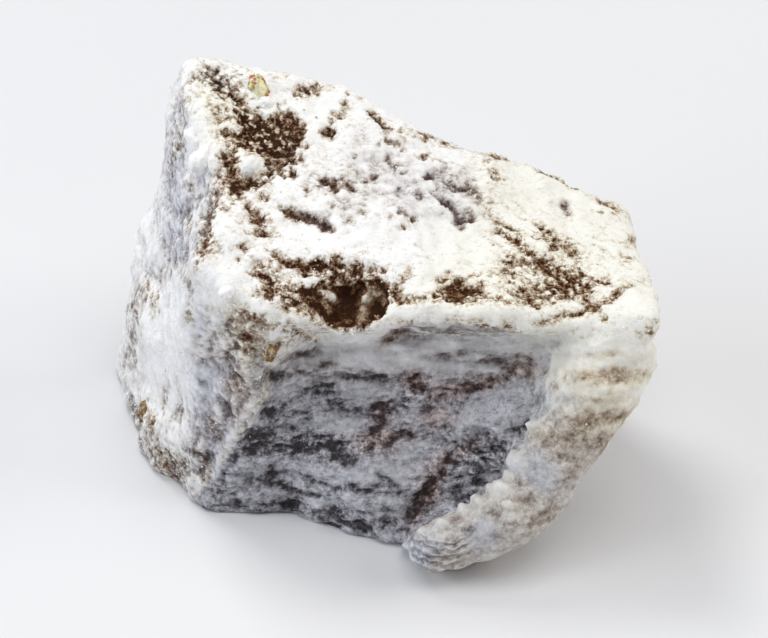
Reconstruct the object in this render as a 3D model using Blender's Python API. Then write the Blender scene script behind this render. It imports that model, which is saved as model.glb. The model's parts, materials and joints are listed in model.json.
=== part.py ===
"""Pistachio Turkish delight: one hand-cut block of nut-studded gel under a crust of icing sugar.

The block stands on its flat underside. +X runs along its longest side, -Y is the hollow face with the
tongue of stretched gel in front of it, and +Z is up. Lengths are in millimetres until the last step.
"""

import math
import random

import bmesh
import bpy
from mathutils import Matrix, Vector, noise
from mathutils.bvhtree import BVHTree

MM = 0.001
NODE_NAME = "turkish_delight"
TRIANGLES = 12000

# The block before it is shaped: a plain box with round edges.
BOX = Vector((38.0, 22.0, 24.0))
EDGE_RADIUS = 1.4
GRID_STEP = 0.8
FRONT_SHARE = 0.3

# Where the knife and the hand left the eight corners.
CORNERS = {
    "left front bottom": (1.2, 2.0, -0.9),
    "right front bottom": (24.0, 0.2, -0.9),
    "left back bottom": (-6.8, 19.5, -0.9),
    "right back bottom": (28.5, 18.5, -0.9),
    "left front top": (-0.4, -0.2, 21.6),
    "right front top": (35.2, -1.4, 20.8),
    "left back top": (-0.9, 22.6, 28.9),
    "right back top": (33.6, 15.5, 18.0),
}
UNDERSIDE = 0.0

# Places where the block swells or sinks: the middle, the reach and the push at the middle.
SWELLS = {
    "low bulge of the left side": ((-5.4, 13.5, 9.5), 6.5, (-2.3, 0.0, 0.0)),
    "foot of the left side": ((-2.0, 8.0, 0.5), 6.0, (-2.1, 0.0, 0.0)),
    "heel of the left side": ((-4.5, 14.5, 2.5), 5.0, (-1.1, 0.0, 0.0)),
    "sunk edge of the left side": ((-0.6, 10.3, 24.9), 7.0, (2.4, 0.0, -0.2)),
    "crest of the back edge": ((12.0, 21.5, 25.0), 9.0, (0.0, 1.2, 1.5)),
    "knob of the back edge": ((7.6, 22.5, 27.2), 4.2, (0.0, 0.4, 1.3)),
    "shoulder of the back edge": ((25.0, 18.5, 21.0), 6.5, (0.0, 0.8, 1.0)),
    "right end of the back edge": ((28.5, 17.2, 19.6), 4.2, (0.0, 0.4, 0.9)),
    "right back corner": ((34.2, 12.5, 18.3), 4.0, (-0.8, 0.0, 0.0)),
    "dip in the front lip": ((11.0, -1.0, 21.2), 3.6, (0.0, -0.3, -1.9)),
    "rise in the front lip": ((20.5, -1.2, 21.0), 4.5, (0.0, -0.5, 0.8)),
    "hollow behind the lip": ((20.5, 2.0, 20.8), 2.6, (0.0, 0.0, -0.8)),
    "dip by the right corner": ((28.5, -1.4, 20.8), 3.0, (0.0, 0.2, -1.1)),
    "pit behind the lip's dip": ((11.6, 2.8, 21.0), 3.0, (0.0, 0.0, -1.3)),
    "sunk apex patch": ((5.2, 14.5, 25.2), 3.6, (0.0, 0.0, -0.8)),
    "sunk streaks on the right": ((27.1, 3.2, 20.3), 4.0, (0.0, 0.0, -0.5)),
    "swelling of the top": ((15.0, 9.0, 23.0), 5.5, (0.0, 0.0, 0.5)),
    "back right facet": ((25.0, 15.5, 21.5), 4.5, (0.0, 0.0, -0.6)),
    "belly of the front": ((14.5, -0.5, 0.5), 6.5, (0.0, -3.0, 0.0)),
    "roll of the right side": ((34.0, 3.0, 14.5), 5.0, (0.3, -0.8, 0.0)),
    "flat of the back": ((15.0, 21.0, 8.0), 9.0, (0.0, 1.6, 0.0)),
}

# The cut that takes the front left corner off, as a line in plan.
CORNER_CUT_FROM = Vector((-0.2, 3.2))
CORNER_CUT_TO = Vector((6.2, -1.3))

# The hollow front face under the lip of the top.
HOLLOW_DEPTH = 3.4
HOLLOW_TOP = 19.4
HOLLOW_TOP_FADE = 2.8
HOLLOW_BOTTOM = 1.0
HOLLOW_LEFT_AT_TOP = 5.2
HOLLOW_LEFT_AT_BOTTOM = 1.2
HOLLOW_RIGHT_AT_TOP = 30.5
HOLLOW_RIGHT_AT_BOTTOM = 17.5
HOLLOW_LEFT_FADE = 5.0
HOLLOW_RIGHT_FADE = 3.6

# The tongue: a strip of gel that sags from the right front corner. Its line and its half width there.
TONGUE = (
    ((31.4, 1.6, 17.0), 3.6),
    ((30.4, 0.2, 14.2), 3.4),
    ((28.6, -1.7, 11.2), 3.0),
    ((26.7, -3.6, 8.1), 2.4),
    ((24.2, -4.9, 5.4), 2.55),
    ((21.0, -5.6, 3.7), 2.35),
    ((18.6, -6.0, 2.9), 2.0),
    ((17.1, -6.3, 2.5), 1.2),
)
TONGUE_WAVE = 0.16
TONGUE_SEED = 4

# The web of gel behind the tongue, as further strips that step from it back to the block.
WEB_STEP = Vector((-0.35, 1.6, -1.4))
WEB_STRIPS = 4
WEB_THINNING = 0.15
WEB_FLOOR = 1.1

# How finely the pieces are fused, and how often the fused skin is then smoothed.
FUSE_VOXEL = 0.4
SOFTEN_STEPS = 5
BIT_VOXEL = 0.3
BIT_SOFTEN_STEPS = 1

# Relief of the skin: soft lumps of the gel, then the caked sugar, which swells into rounded cakes.
LUMP_REACH = 6.0
LUMP_HEIGHT = 0.62
LUMP_LAYERS = (0.9, 2.1, 3)
CRUST_REACH = 2.1
CRUST_HEIGHT = 0.6
CRUST_LEVEL = 0.25

# Creases of the hollow front face. Each pair says where they start to show and where they show in full:
# how much the skin faces forward, how far right it is, how high it is and how far it is off the tongue.
CREASE_LENGTH = 6.5
CREASE_WIDTH = 1.25
CREASE_DEPTH = 1.2
CREASE_SLANT = 0.16
CREASE_BEND = 1.2
CREASE_BEND_REACH = 5.0
CREASE_FLOOR = 0.15
CREASE_CREST = 0.25
CREASE_FACING = (0.3, 0.8)
CREASE_FROM_X = (3.0, 6.5)
CREASE_UNDER_Z = (20.4, 17.9)
CREASE_OFF_TONGUE = (2.6, 3.4)

# The pit behind the lip, where a strand of gel is torn and curled: its middle, its reach and its depth.
PIT_MIDDLE = Vector((12.5, 1.1, 20.4))
PIT_REACH = Vector((2.7, 2.0, 2.0))
PIT_DEPTH = 0.9
PIT_RIM = 1.15
PIT_FLOOR = 0.4

# Fine ridges round the end of the tongue.
TIP_RIDGE_PITCH = 1.25
TIP_RIDGE_HEIGHT = 0.2
TIP_RIDGE_BEND = 0.5
TIP_RIDGE_BEND_REACH = 2.5
TIP_RIDGE_NEAR_TIP = (6.0, 1.0)
TIP_RIDGE_ON_TONGUE = (3.6, 3.0)

# Pistachio pieces and lumps of caked sugar that stand out of the skin: a point near each and its radius.
NUT_BITS = {
    "by the apex": ((5.2, 19.3, 27.1), 0.85),
    "under the lip": ((6.2, 0.1, 16.6), 0.75),
    "low on the left": ((-4.4, 10.0, 3.1), 0.75),
    "on the back": ((20.0, 22.0, 12.0), 1.2),
    "on the back, low": ((6.0, 22.0, 6.0), 1.0),
    "on the right side": ((33.0, 10.0, 9.0), 1.1),
}
SUGAR_LUMPS = {
    "in the apex patch": ((4.6, 12.7, 24.6), 0.95),
    "above the apex patch": ((5.8, 18.1, 26.1), 0.85),
    "by the lip": ((3.0, 1.5, 21.4), 1.0),
    "on the back": ((26.0, 20.0, 8.0), 1.1),
    "on the right side": ((32.0, 6.0, 8.0), 1.0),
}
BIT_SINK = 0.2
BIT_CORNERS = 18
BIT_SEED = 7

# Icing sugar with the brown gel showing through here and there.
COLOUR = (0.72, 0.69, 0.64, 1.0)
ROUGHNESS = 0.9


def smooth(start, end, value):
    """0 at start, 1 at end and a smooth ramp between them. Start may be the larger."""
    share = min(1.0, max(0.0, (value - start) / (end - start)))
    return share * share * (3.0 - 2.0 * share)


def clear_scene():
    for obj in list(bpy.data.objects):
        bpy.data.objects.remove(obj)


def new_object(name, mesh):
    obj = bpy.data.objects.new(name, mesh)
    bpy.context.scene.collection.objects.link(obj)
    return obj


def apply_modifiers(obj):
    """Replaces the object's mesh by what its modifiers make of it."""
    graph = bpy.context.evaluated_depsgraph_get()
    made = bpy.data.meshes.new_from_object(obj.evaluated_get(graph))
    obj.modifiers.clear()
    obj.data = made


def rounded_box(bm):
    """A box from the origin to BOX whose faces are grids and whose edges are round."""
    cuts = round(BOX.x / GRID_STEP)
    bmesh.ops.create_cube(bm, size=1.0, matrix=Matrix.Translation((0.5, 0.5, 0.5)))
    bmesh.ops.subdivide_edges(bm, edges=bm.edges[:], cuts=cuts, use_grid_fill=True)
    for vert in bm.verts:
        point = Vector(vert.co[k] * BOX[k] for k in range(3))
        inner = Vector(
            min(max(point[k], EDGE_RADIUS), BOX[k] - EDGE_RADIUS) for k in range(3)
        )
        vert.co = inner + (point - inner).normalized() * EDGE_RADIUS


def between_corners(point):
    """The point of the plain box, carried along with the eight corners."""
    across, back, up = (point[k] / BOX[k] for k in range(3))
    found = Vector((0.0, 0.0, 0.0))
    for name, place in CORNERS.items():
        share = across if "right" in name else 1.0 - across
        share *= back if "back" in name else 1.0 - back
        share *= up if "top" in name else 1.0 - up
        found += share * Vector(place)
    return found


def swollen(point):
    """The point moved by every swell that reaches it."""
    moved = point.copy()
    for middle, reach, push in SWELLS.values():
        distance = (point - Vector(middle)).length / reach
        moved += Vector(push) * math.exp(-2.0 * distance * distance)
    return moved


def corner_cut(point):
    """Slides what stands in front of the corner's cut back onto it."""
    along = (CORNER_CUT_TO - CORNER_CUT_FROM).normalized()
    outward = Vector((along.y, -along.x, 0.0))
    proud = (point.xy - CORNER_CUT_FROM).dot(outward.xy)
    return point - outward * max(0.0, proud)


def hollow(point, frontness):
    """How far the front face is pressed in, at a point of that face."""
    height = smooth(0.0, HOLLOW_TOP, point.z)
    left = HOLLOW_LEFT_AT_BOTTOM
    left += (HOLLOW_LEFT_AT_TOP - HOLLOW_LEFT_AT_BOTTOM) * height
    right = HOLLOW_RIGHT_AT_BOTTOM
    right += (HOLLOW_RIGHT_AT_TOP - HOLLOW_RIGHT_AT_BOTTOM) * height
    sides = smooth(left, left + HOLLOW_LEFT_FADE, point.x)
    sides *= smooth(right, right - HOLLOW_RIGHT_FADE, point.x)
    top = smooth(HOLLOW_TOP, HOLLOW_TOP - HOLLOW_TOP_FADE, point.z)
    bottom = smooth(HOLLOW_BOTTOM, HOLLOW_TOP - HOLLOW_TOP_FADE, point.z)
    return HOLLOW_DEPTH * sides * top * bottom * frontness


def make_block():
    bm = bmesh.new()
    rounded_box(bm)
    for vert in bm.verts:
        frontness = smooth(BOX.y * FRONT_SHARE, 0.0, vert.co.y)
        point = corner_cut(swollen(between_corners(vert.co)))
        point.y += hollow(point, frontness)
        vert.co = point
    bmesh.ops.triangulate(bm, faces=bm.faces[:])
    bmesh.ops.recalc_face_normals(bm, faces=bm.faces[:])
    mesh = bpy.data.meshes.new(NODE_NAME)
    bm.to_mesh(mesh)
    bm.free()
    return new_object(NODE_NAME, mesh)


def make_strip(name, places, half_widths):
    """A round bevelled curve through the places."""
    curve = bpy.data.curves.new(name, "CURVE")
    curve.dimensions = "3D"
    curve.bevel_depth = 1.0
    curve.bevel_resolution = 6
    curve.use_fill_caps = True
    spline = curve.splines.new("NURBS")
    spline.points.add(len(places) - 1)
    for knot, place, half_width in zip(spline.points, places, half_widths):
        knot.co = (*place, 1.0)
        knot.radius = half_width
    spline.use_endpoint_u = True
    spline.order_u = 4
    spline.resolution_u = 8
    drawn = new_object(name, curve)
    graph = bpy.context.evaluated_depsgraph_get()
    mesh = bpy.data.meshes.new_from_object(drawn.evaluated_get(graph))
    bpy.data.objects.remove(drawn)
    return new_object(name, mesh)


def make_tongue():
    """The tongue, a little uneven in width as stretched gel is, and the strips of the web behind it."""
    rng = random.Random(TONGUE_SEED)
    places = [Vector(place) for place, _ in TONGUE]
    half_widths = [width + rng.uniform(-TONGUE_WAVE, TONGUE_WAVE) for _, width in TONGUE]
    strips = [make_strip("tongue", places, half_widths)]
    for number in range(1, WEB_STRIPS + 1):
        stepped = [place + number * WEB_STEP for place in places]
        for place in stepped:
            place.z = max(place.z, WEB_FLOOR)
        thinner = [width * (1.0 - number * WEB_THINNING) for width in half_widths]
        strips.append(make_strip(f"web_{number}", stepped, thinner))
    return strips


def join(block, others):
    """One Boolean union of the block and the others, which are then removed."""
    collection = bpy.data.collections.new("joined")
    bpy.context.scene.collection.children.link(collection)
    for other in others:
        collection.objects.link(other)
    union = block.modifiers.new("union", "BOOLEAN")
    union.operation = "UNION"
    union.operand_type = "COLLECTION"
    union.collection = collection
    apply_modifiers(block)
    for other in others:
        bpy.data.objects.remove(other)
    bpy.data.collections.remove(collection)


def soften(block, voxel, steps):
    """One even skin, with the joints and the edges worn round."""
    skin = block.modifiers.new("skin", "REMESH")
    skin.mode = "VOXEL"
    skin.voxel_size = voxel
    worn = block.modifiers.new("worn", "SMOOTH")
    worn.factor = 0.5
    worn.iterations = steps
    apply_modifiers(block)


def fill_pockets(block):
    """Removes every closed skin but the largest one: the pockets that the strips leave over the underside."""
    bm = bmesh.new()
    bm.from_mesh(block.data)
    unseen = set(bm.verts)
    skins = []
    while unseen:
        skin = [unseen.pop()]
        for vert in skin:
            beside = {edge.other_vert(vert) for edge in vert.link_edges} & unseen
            unseen -= beside
            skin.extend(beside)
        skins.append(skin)
    skins.sort(key=len)
    pockets = [vert for skin in skins[:-1] for vert in skin]
    bmesh.ops.delete(bm, geom=pockets, context="VERTS")
    bm.to_mesh(block.data)
    bm.free()


def creases(point, normal):
    """Depth of the creases that run along the hollow front face, where the gel was pulled."""
    shown = smooth(*CREASE_FACING, -normal.y)
    shown *= smooth(*CREASE_FROM_X, point.x)
    shown *= smooth(*CREASE_UNDER_Z, point.z)
    shown *= smooth(*CREASE_OFF_TONGUE, from_tongue(point))
    level = point.z - CREASE_SLANT * point.x
    level += CREASE_BEND * noise.noise(point / CREASE_BEND_REACH)
    stretched = Vector((point.x / CREASE_LENGTH, 0.0, level / CREASE_WIDTH))
    swell = min(CREASE_CREST, abs(noise.noise(stretched)) - CREASE_FLOOR)
    return shown * CREASE_DEPTH * swell


def from_tongue(point):
    """Distance from the tongue's line."""
    line = [Vector(place) for place, _ in TONGUE]
    distances = []
    for start, end in zip(line, line[1:]):
        run = end - start
        share = min(1.0, max(0.0, (point - start).dot(run) / run.length_squared))
        distances.append((point - start - share * run).length)
    return min(distances)


def tip_ridges(point):
    """Height of the fine ridges that ring the end of the tongue."""
    away = (point - Vector(TONGUE[-1][0])).length
    shown = smooth(*TIP_RIDGE_NEAR_TIP, away)
    shown *= smooth(*TIP_RIDGE_ON_TONGUE, from_tongue(point))
    bend = TIP_RIDGE_BEND * noise.noise(point / TIP_RIDGE_BEND_REACH)
    return shown * TIP_RIDGE_HEIGHT * math.sin(math.tau * (away + bend) / TIP_RIDGE_PITCH)


def pit(point):
    """How deep the pit behind the lip is at the point."""
    away = Vector((point[k] - PIT_MIDDLE[k]) / PIT_REACH[k] for k in range(3)).length
    return PIT_DEPTH * smooth(PIT_RIM, PIT_FLOOR, away)


def relief(block):
    """Pushes the skin out along its normals into lumps, crust, creases and ridges, and sinks the pit."""
    mesh = block.data
    moves = []
    for vert in mesh.vertices:
        point, normal = vert.co.copy(), vert.normal.copy()
        height = LUMP_HEIGHT * noise.fractal(point / LUMP_REACH, *LUMP_LAYERS)
        height += CRUST_HEIGHT * (abs(noise.noise(point / CRUST_REACH)) - CRUST_LEVEL)
        height += creases(point, normal) + tip_ridges(point) - pit(point)
        moves.append(point + normal * height)
    for vert, moved in zip(mesh.vertices, moves):
        vert.co = moved


def thin_out(block):
    """Fewer, larger triangles where the surface is plain."""
    have = sum(len(face.vertices) - 2 for face in block.data.polygons)
    fewer = block.modifiers.new("fewer", "DECIMATE")
    fewer.ratio = TRIANGLES / have
    fewer.use_collapse_triangulate = True
    apply_modifiers(block)


def make_bit(name, near, radius, skin, rng):
    """A chipped lump, sunk in the skin at the place nearest to the given point."""
    place, normal, _, _ = skin.find_nearest(Vector(near))
    bm = bmesh.new()
    stretch = Vector((rng.uniform(1.0, 1.3), rng.uniform(0.8, 1.0), rng.uniform(0.7, 0.9)))
    for _ in range(BIT_CORNERS):
        corner = Vector(rng.gauss(0.0, 1.0) for _ in range(3)).normalized()
        bm.verts.new(Vector(corner[k] * stretch[k] * radius for k in range(3)))
    hull = bmesh.ops.convex_hull(bm, input=bm.verts[:])
    inner = [item for item in hull["geom_interior"] if isinstance(item, bmesh.types.BMVert)]
    bmesh.ops.delete(bm, geom=inner, context="VERTS")
    bmesh.ops.recalc_face_normals(bm, faces=bm.faces[:])
    turn = normal.to_track_quat("Z", "Y").to_matrix().to_4x4()
    spin = Matrix.Rotation(rng.uniform(0.0, math.tau), 4, "Z")
    sunk = Matrix.Translation(place - normal * radius * BIT_SINK)
    bmesh.ops.transform(bm, matrix=sunk @ turn @ spin, verts=bm.verts[:])
    mesh = bpy.data.meshes.new(name)
    bm.to_mesh(mesh)
    bm.free()
    return new_object(name, mesh)


def add_bits(block):
    """Fuses the pistachio pieces and the sugar lumps to the block."""
    bm = bmesh.new()
    bm.from_mesh(block.data)
    skin = BVHTree.FromBMesh(bm)
    bm.free()
    rng = random.Random(BIT_SEED)
    bits = []
    for number, (near, radius) in enumerate([*NUT_BITS.values(), *SUGAR_LUMPS.values()]):
        bits.append(make_bit(f"bit_{number}", near, radius, skin, rng))
    join(block, bits)


def stand_flat(block):
    """Cuts the underside flat, sets the bounding box over the origin and turns the mesh into metres."""
    bm = bmesh.new()
    bm.from_mesh(block.data)
    cut = bmesh.ops.bisect_plane(
        bm,
        geom=bm.verts[:] + bm.edges[:] + bm.faces[:],
        plane_co=(0, 0, UNDERSIDE),
        plane_no=(0, 0, 1),
        clear_inner=True,
    )
    rim = [item for item in cut["geom_cut"] if isinstance(item, bmesh.types.BMEdge)]
    bmesh.ops.contextual_create(bm, geom=rim)
    bmesh.ops.triangulate(bm, faces=bm.faces[:])
    low = Vector(min(vert.co[k] for vert in bm.verts) for k in range(3))
    high = Vector(max(vert.co[k] for vert in bm.verts) for k in range(3))
    middle = (low + high) / 2
    middle.z = low.z
    bmesh.ops.translate(bm, verts=bm.verts[:], vec=-middle)
    bmesh.ops.scale(bm, verts=bm.verts[:], vec=(MM, MM, MM))
    bm.to_mesh(block.data)
    bm.free()


def paint(block):
    material = bpy.data.materials.new("sugared gel")
    material.use_nodes = True
    shader = material.node_tree.nodes["Principled BSDF"]
    shader.inputs["Base Color"].default_value = COLOUR
    shader.inputs["Roughness"].default_value = ROUGHNESS
    shader.inputs["Metallic"].default_value = 0.0
    block.data.materials.clear()
    block.data.materials.append(material)


def main():
    clear_scene()
    block = make_block()
    join(block, make_tongue())
    soften(block, FUSE_VOXEL, SOFTEN_STEPS)
    relief(block)
    add_bits(block)
    soften(block, BIT_VOXEL, BIT_SOFTEN_STEPS)
    thin_out(block)
    stand_flat(block)
    fill_pockets(block)
    paint(block)


main()
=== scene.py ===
import json
import math

import bpy
import numpy as np
from mathutils import Matrix, Vector, noise
from mathutils.bvhtree import BVHTree

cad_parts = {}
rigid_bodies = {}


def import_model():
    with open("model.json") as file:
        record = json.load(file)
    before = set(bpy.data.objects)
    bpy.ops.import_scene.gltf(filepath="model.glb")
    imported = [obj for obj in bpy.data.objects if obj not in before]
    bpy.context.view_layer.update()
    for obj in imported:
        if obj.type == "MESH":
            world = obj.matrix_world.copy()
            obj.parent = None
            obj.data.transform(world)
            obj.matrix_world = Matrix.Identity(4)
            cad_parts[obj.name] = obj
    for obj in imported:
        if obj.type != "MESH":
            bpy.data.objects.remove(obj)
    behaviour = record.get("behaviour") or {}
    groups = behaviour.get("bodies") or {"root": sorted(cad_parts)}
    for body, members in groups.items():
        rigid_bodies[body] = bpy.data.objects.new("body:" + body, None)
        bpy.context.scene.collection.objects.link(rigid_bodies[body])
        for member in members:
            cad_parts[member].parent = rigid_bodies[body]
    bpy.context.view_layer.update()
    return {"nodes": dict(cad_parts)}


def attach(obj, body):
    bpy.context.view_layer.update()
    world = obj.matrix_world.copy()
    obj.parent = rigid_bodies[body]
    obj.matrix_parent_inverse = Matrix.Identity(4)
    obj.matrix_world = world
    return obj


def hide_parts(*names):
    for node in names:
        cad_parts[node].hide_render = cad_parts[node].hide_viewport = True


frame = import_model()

# The block
# One hand-cut block of dark reddish-brown starch gel, rolled in icing sugar while it was still tacky. The
# sugar cakes into a lumpy crust on top, thins out on the cut faces, and is rubbed off in ragged patches.

MM = 0.001
# The skin is made anew from the node's mesh, in small even steps, and is then softened.
DOUBLES_REACH = 0.001 * MM
SKIN_STEP = 0.236 * MM
SKIN_SOFTEN_STEPS = 10
# A point shows in the photograph where it faces the camera by more than a graze and nothing hides it.
GRAZING = 0.02
OFF_SKIN = 0.1 * MM
SEEN_MARGIN_STEPS = 3
# The camera looks at its aim, which shows at the centre's pixel of the photograph.
CAMERA_ELEVATION = math.radians(37)
CAMERA_DISTANCE = 500 * MM
CAMERA_AIM = Vector((0.23, 2.84, 12.13)) * MM
PHOTO_CENTRE = (416, 150)
PHOTO_PIXEL = 0.135 * MM
# From the middle of the picture towards the camera, and upwards in the picture.
TO_CAMERA = Vector((0, -math.cos(CAMERA_ELEVATION), math.sin(CAMERA_ELEVATION)))
CAMERA_UP = Vector((0, math.sin(CAMERA_ELEVATION), math.cos(CAMERA_ELEVATION)))

# How much sugar lies on each part, where 0 is bare gel and 1 is a full coat, and how much more lies high in
# the hollow than low in it, and on the roll than on the tongue's tip. The thin coat in the hollow and on the
# tongue, and its fall from the roll to the tip, also paint shade.
COAT_ON_TOP = 1.12
COAT_AND_SHADE_IN_HOLLOW = 0.57
MORE_UNDER_LIP = 0.29
COAT_ON_CORNER = 0.76
COAT_ON_FACET = 1.0
COAT_AND_SHADE_ON_TONGUE = 0.76
MORE_ON_ROLL_AND_LESS_SHADE = 0.30
COAT_IN_FRONT = 0.86
COAT_ON_LEFT = 1.0
COAT_ON_RIGHT = 0.98
COAT_BEHIND = 0.86
COAT_BELOW = 0.66
COAT_ELSEWHERE = 0.9
FULL_COAT = 1.12
THICKEST_COAT = 1.3

# Places where the sugar is rubbed off or thin, read off the photograph: pixels across and down, half length,
# half width, turn in degrees against the clock, and how bare the place is from 0 to 1.
# A few broad, faint places in these lists paint shade rather than bare sugar, as said at each list.
BARE_AT_HIGH_CORNER = [
    (322, 31, 12, 8, 70, 0.28), (319, 12, 8, 4, 10, 0.3), (336, 50, 11, 5.5, -10, 1.0),
    (311, 78, 16, 4, 75, 0.22), (324, 17, 10, 8, -20, 0.22), (324, 20.5, 4.5, 3, -15, 0.7),
    (330, 25, 5, 2, -40, 0.7), (334, 28, 5, 2.5, -40, 0.8), (327.5, 38, 4, 1.5, -20, 0.45),
    (342, 74, 8, 3.2, 6, 1.0), (331, 71, 9, 3, 85, 0.85), (326.5, 59, 3.2, 2.6, 0, 0.9),
    (329, 64, 5, 2.6, -40, 0.8), (329, 76, 14, 9, 80, 0.35), (338, 83, 7, 2.0, -65, 0.75),
    (349, 82.5, 3.6, 2.2, -20, 0.85), (345, 94, 5, 2.8, -60, 0.8), (346, 99, 9, 7, 0, 0.25),
    (348, 103, 6, 2.2, -5, 0.95), (338, 111, 2.5, 2, -45, 0.75), (335.5, 117, 2.5, 1.6, 50, 0.7),
    (319, 91, 25, 2.6, 77, 0.7), (372, 23.5, 11, 3.2, 17, 0.5), (356, 10.5, 5.5, 1.4, -27, 0.8),
    (367, 51, 5, 4, 0, 0.5), (370.5, 62.5, 2, 1.6, 0, 0.75), (345, 28, 3, 1.5, 0, 0.4),
]
# Its three broad, faint spots at (408, 68), (397, 87) and (434, 84) paint shade on the middle of the top.
BARE_ON_TOP = [
    (364, 91, 6, 2.4, -30, 0.95), (370, 94, 6, 2.8, -10, 1.0), (377, 95, 6, 2, -15, 0.95),
    (382, 97.5, 3.2, 3, -60, 0.95), (387, 100, 3, 1.8, -45, 0.5), (386.4, 73.3, 6.5, 2.2, -5, 0.95),
    (388, 77.4, 2.8, 2, 0, 1.0), (397.7, 77.4, 2.6, 1.8, 90, 0.65), (382.6, 80.6, 4.5, 1.3, 20, 0.5),
    (373.5, 78.5, 3, 1.9, 0, 0.85), (379, 76, 7, 3, 20, 0.3), (385.1, 46.1, 2.9, 2.7, -30, 1.0),
    (390.5, 36.6, 3.6, 1.7, -25, 0.95), (386.4, 39.1, 2, 1.3, 0, 0.6), (393, 29.6, 1.8, 1.5, 0, 0.7),
    (394.7, 34, 1.9, 1.6, 0, 0.85), (395.3, 24.8, 2, 1, -40, 0.45), (403.6, 28.3, 3, 1, -30, 0.5),
    (409.3, 35.6, 3, 1.2, -20, 0.5), (411.3, 39.1, 3, 1.3, -30, 0.75), (415.4, 42.3, 3, 1.4, -35, 0.75),
    (418.3, 50.6, 2.6, 2, -50, 0.75), (413.5, 52.2, 2, 1.2, 10, 0.5), (420.8, 51.3, 3, 1.1, -10, 0.5),
    (422.4, 53.8, 2, 1.2, 0, 0.45), (424.6, 45.5, 5, 1.5, -20, 0.35), (426.6, 50, 3, 1.5, -40, 0.4),
    (426.6, 56.4, 1.6, 1.2, 0, 0.5), (438.7, 59.9, 2.2, 1.5, 15, 0.9), (434.2, 60.8, 3, 0.9, -40, 0.35),
    (442.5, 60.8, 3, 0.9, -35, 0.3), (418.3, 61.8, 2.8, 1.6, -60, 0.65), (421.1, 65.6, 2.4, 1.4, -40, 0.65),
    (425.3, 64.6, 3, 1, 10, 0.4), (425.6, 69.1, 1.8, 1.3, 0, 0.5), (400.1, 59.9, 1.8, 1.3, -30, 0.45),
    (410.9, 70.4, 1.9, 1.6, -45, 0.75), (407.7, 72.6, 2, 1.1, 15, 0.5), (404.6, 74.2, 1.6, 1.2, 0, 0.45),
    (440.3, 71, 3, 1.6, 30, 0.5), (432.3, 74.2, 3, 1.4, 30, 0.4), (435.5, 80.6, 3, 2, 90, 0.35),
    (424, 77.7, 1.6, 1.4, 90, 0.55), (423.4, 81.9, 2, 1.3, 0, 0.5), (436.1, 83.8, 2, 1.2, -50, 0.4),
    (405.5, 83.5, 2, 1.3, 0, 0.45), (406.1, 87.3, 2, 1.2, 0, 0.45), (403, 90.8, 4, 2, 45, 0.35),
    (388.3, 87, 3, 1.2, 30, 0.3), (446.3, 77.7, 2, 2, 0, 0.25), (451.1, 86, 5, 2.2, -35, 0.95),
    (449.5, 92, 2.5, 1.5, 0, 0.5), (453.3, 72.9, 8, 4.5, -30, 0.22), (464.2, 77.4, 6, 3, -40, 0.2),
    (458.4, 95.3, 5, 2.4, -45, 0.85), (462.9, 90.2, 2.6, 1.4, -40, 0.7), (465.8, 94.5, 2.2, 1.9, -60, 0.85),
    (422.7, 90.8, 2.2, 1.1, 10, 0.45), (428.2, 91.4, 2.2, 1.1, 0, 0.45), (432.3, 94.6, 2.2, 1.6, 10, 0.6),
    (418.6, 93.7, 1.8, 1, 0, 0.35), (426.2, 98.8, 2.5, 1.5, -20, 0.6), (398.2, 97.5, 2, 1.5, 0, 0.6),
    (478.9, 59.5, 2, 1.5, 0, 0.7), (473.4, 62.1, 1.6, 1.2, 0, 0.4), (477.6, 68.5, 4, 2.4, -40, 0.35),
    (479.5, 71.7, 3, 1.5, -10, 0.4), (471.8, 83.8, 5, 3, -40, 0.28), (475, 90.2, 3, 2, 0, 0.28),
    (441, 47.8, 9, 1, -12, 0.5), (459, 52, 12, 1.1, -12, 0.5), (482, 60.5, 10, 1.1, -14, 0.55),
    (502, 67, 12, 1.1, -20, 0.4), (522, 76.5, 12, 1.3, -27, 0.55), (541, 87, 10, 1.3, -27, 0.55),
    (408, 68, 24, 13, -10, 0.20), (397, 87, 17, 9, 0, 0.20), (434, 84, 13, 10, 0, 0.14),
    (450, 52, 24, 2.6, -14, 0.3), (460, 77, 17, 7, -45, 0.2),
]
BARE_AT_PIT = [
    (393, 124, 20, 5.5, -3, 0.45), (352, 132, 8, 12, -70, 0.3), (346, 120, 4, 3, 0, 0.35),
    (346, 126, 4, 3, -30, 0.65), (351, 129, 6, 2.4, -50, 0.55), (356, 127, 5, 2.4, 90, 0.5),
    (352.5, 137, 4, 1.9, 90, 0.7), (355, 113.5, 3.6, 1.8, -15, 0.55), (349, 110.5, 2.6, 1.4, -45, 0.45),
    (361, 118.5, 3.5, 1.9, -20, 0.85), (371, 120, 8, 3.0, -5, 0.92), (378, 119.5, 4, 2.4, -10, 0.85),
    (372, 125.6, 1.9, 1.7, 0, 0.85), (381, 121, 3, 2.2, 0, 0.75), (390, 119, 5, 3.5, 20, 0.55),
    (388, 126, 4, 2.6, 60, 0.8), (394, 128, 3.5, 2, -50, 0.75), (398, 124, 4, 3, -20, 0.8),
    (404, 120.5, 5, 1.8, -20, 0.7), (409, 122.5, 2.0, 1.8, 0, 0.85), (415.5, 123.5, 1.6, 1.5, 0, 0.65),
    (424, 131, 7, 2.6, 50, 0.75), (460, 135.8, 12.5, 5.6, 3, 1.0), (456, 131.5, 5, 2.5, 0, 0.9),
    (376, 146, 9, 3, -52, 0.45), (371, 149, 9, 3.5, -35, 0.4), (429, 140, 8, 2.8, 0, 0.8),
    (362.5, 143, 3.5, 1.7, 15, 0.8), (366, 140, 8, 5, -50, 0.5), (383, 130.5, 3, 2, -40, 0.5),
]
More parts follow.
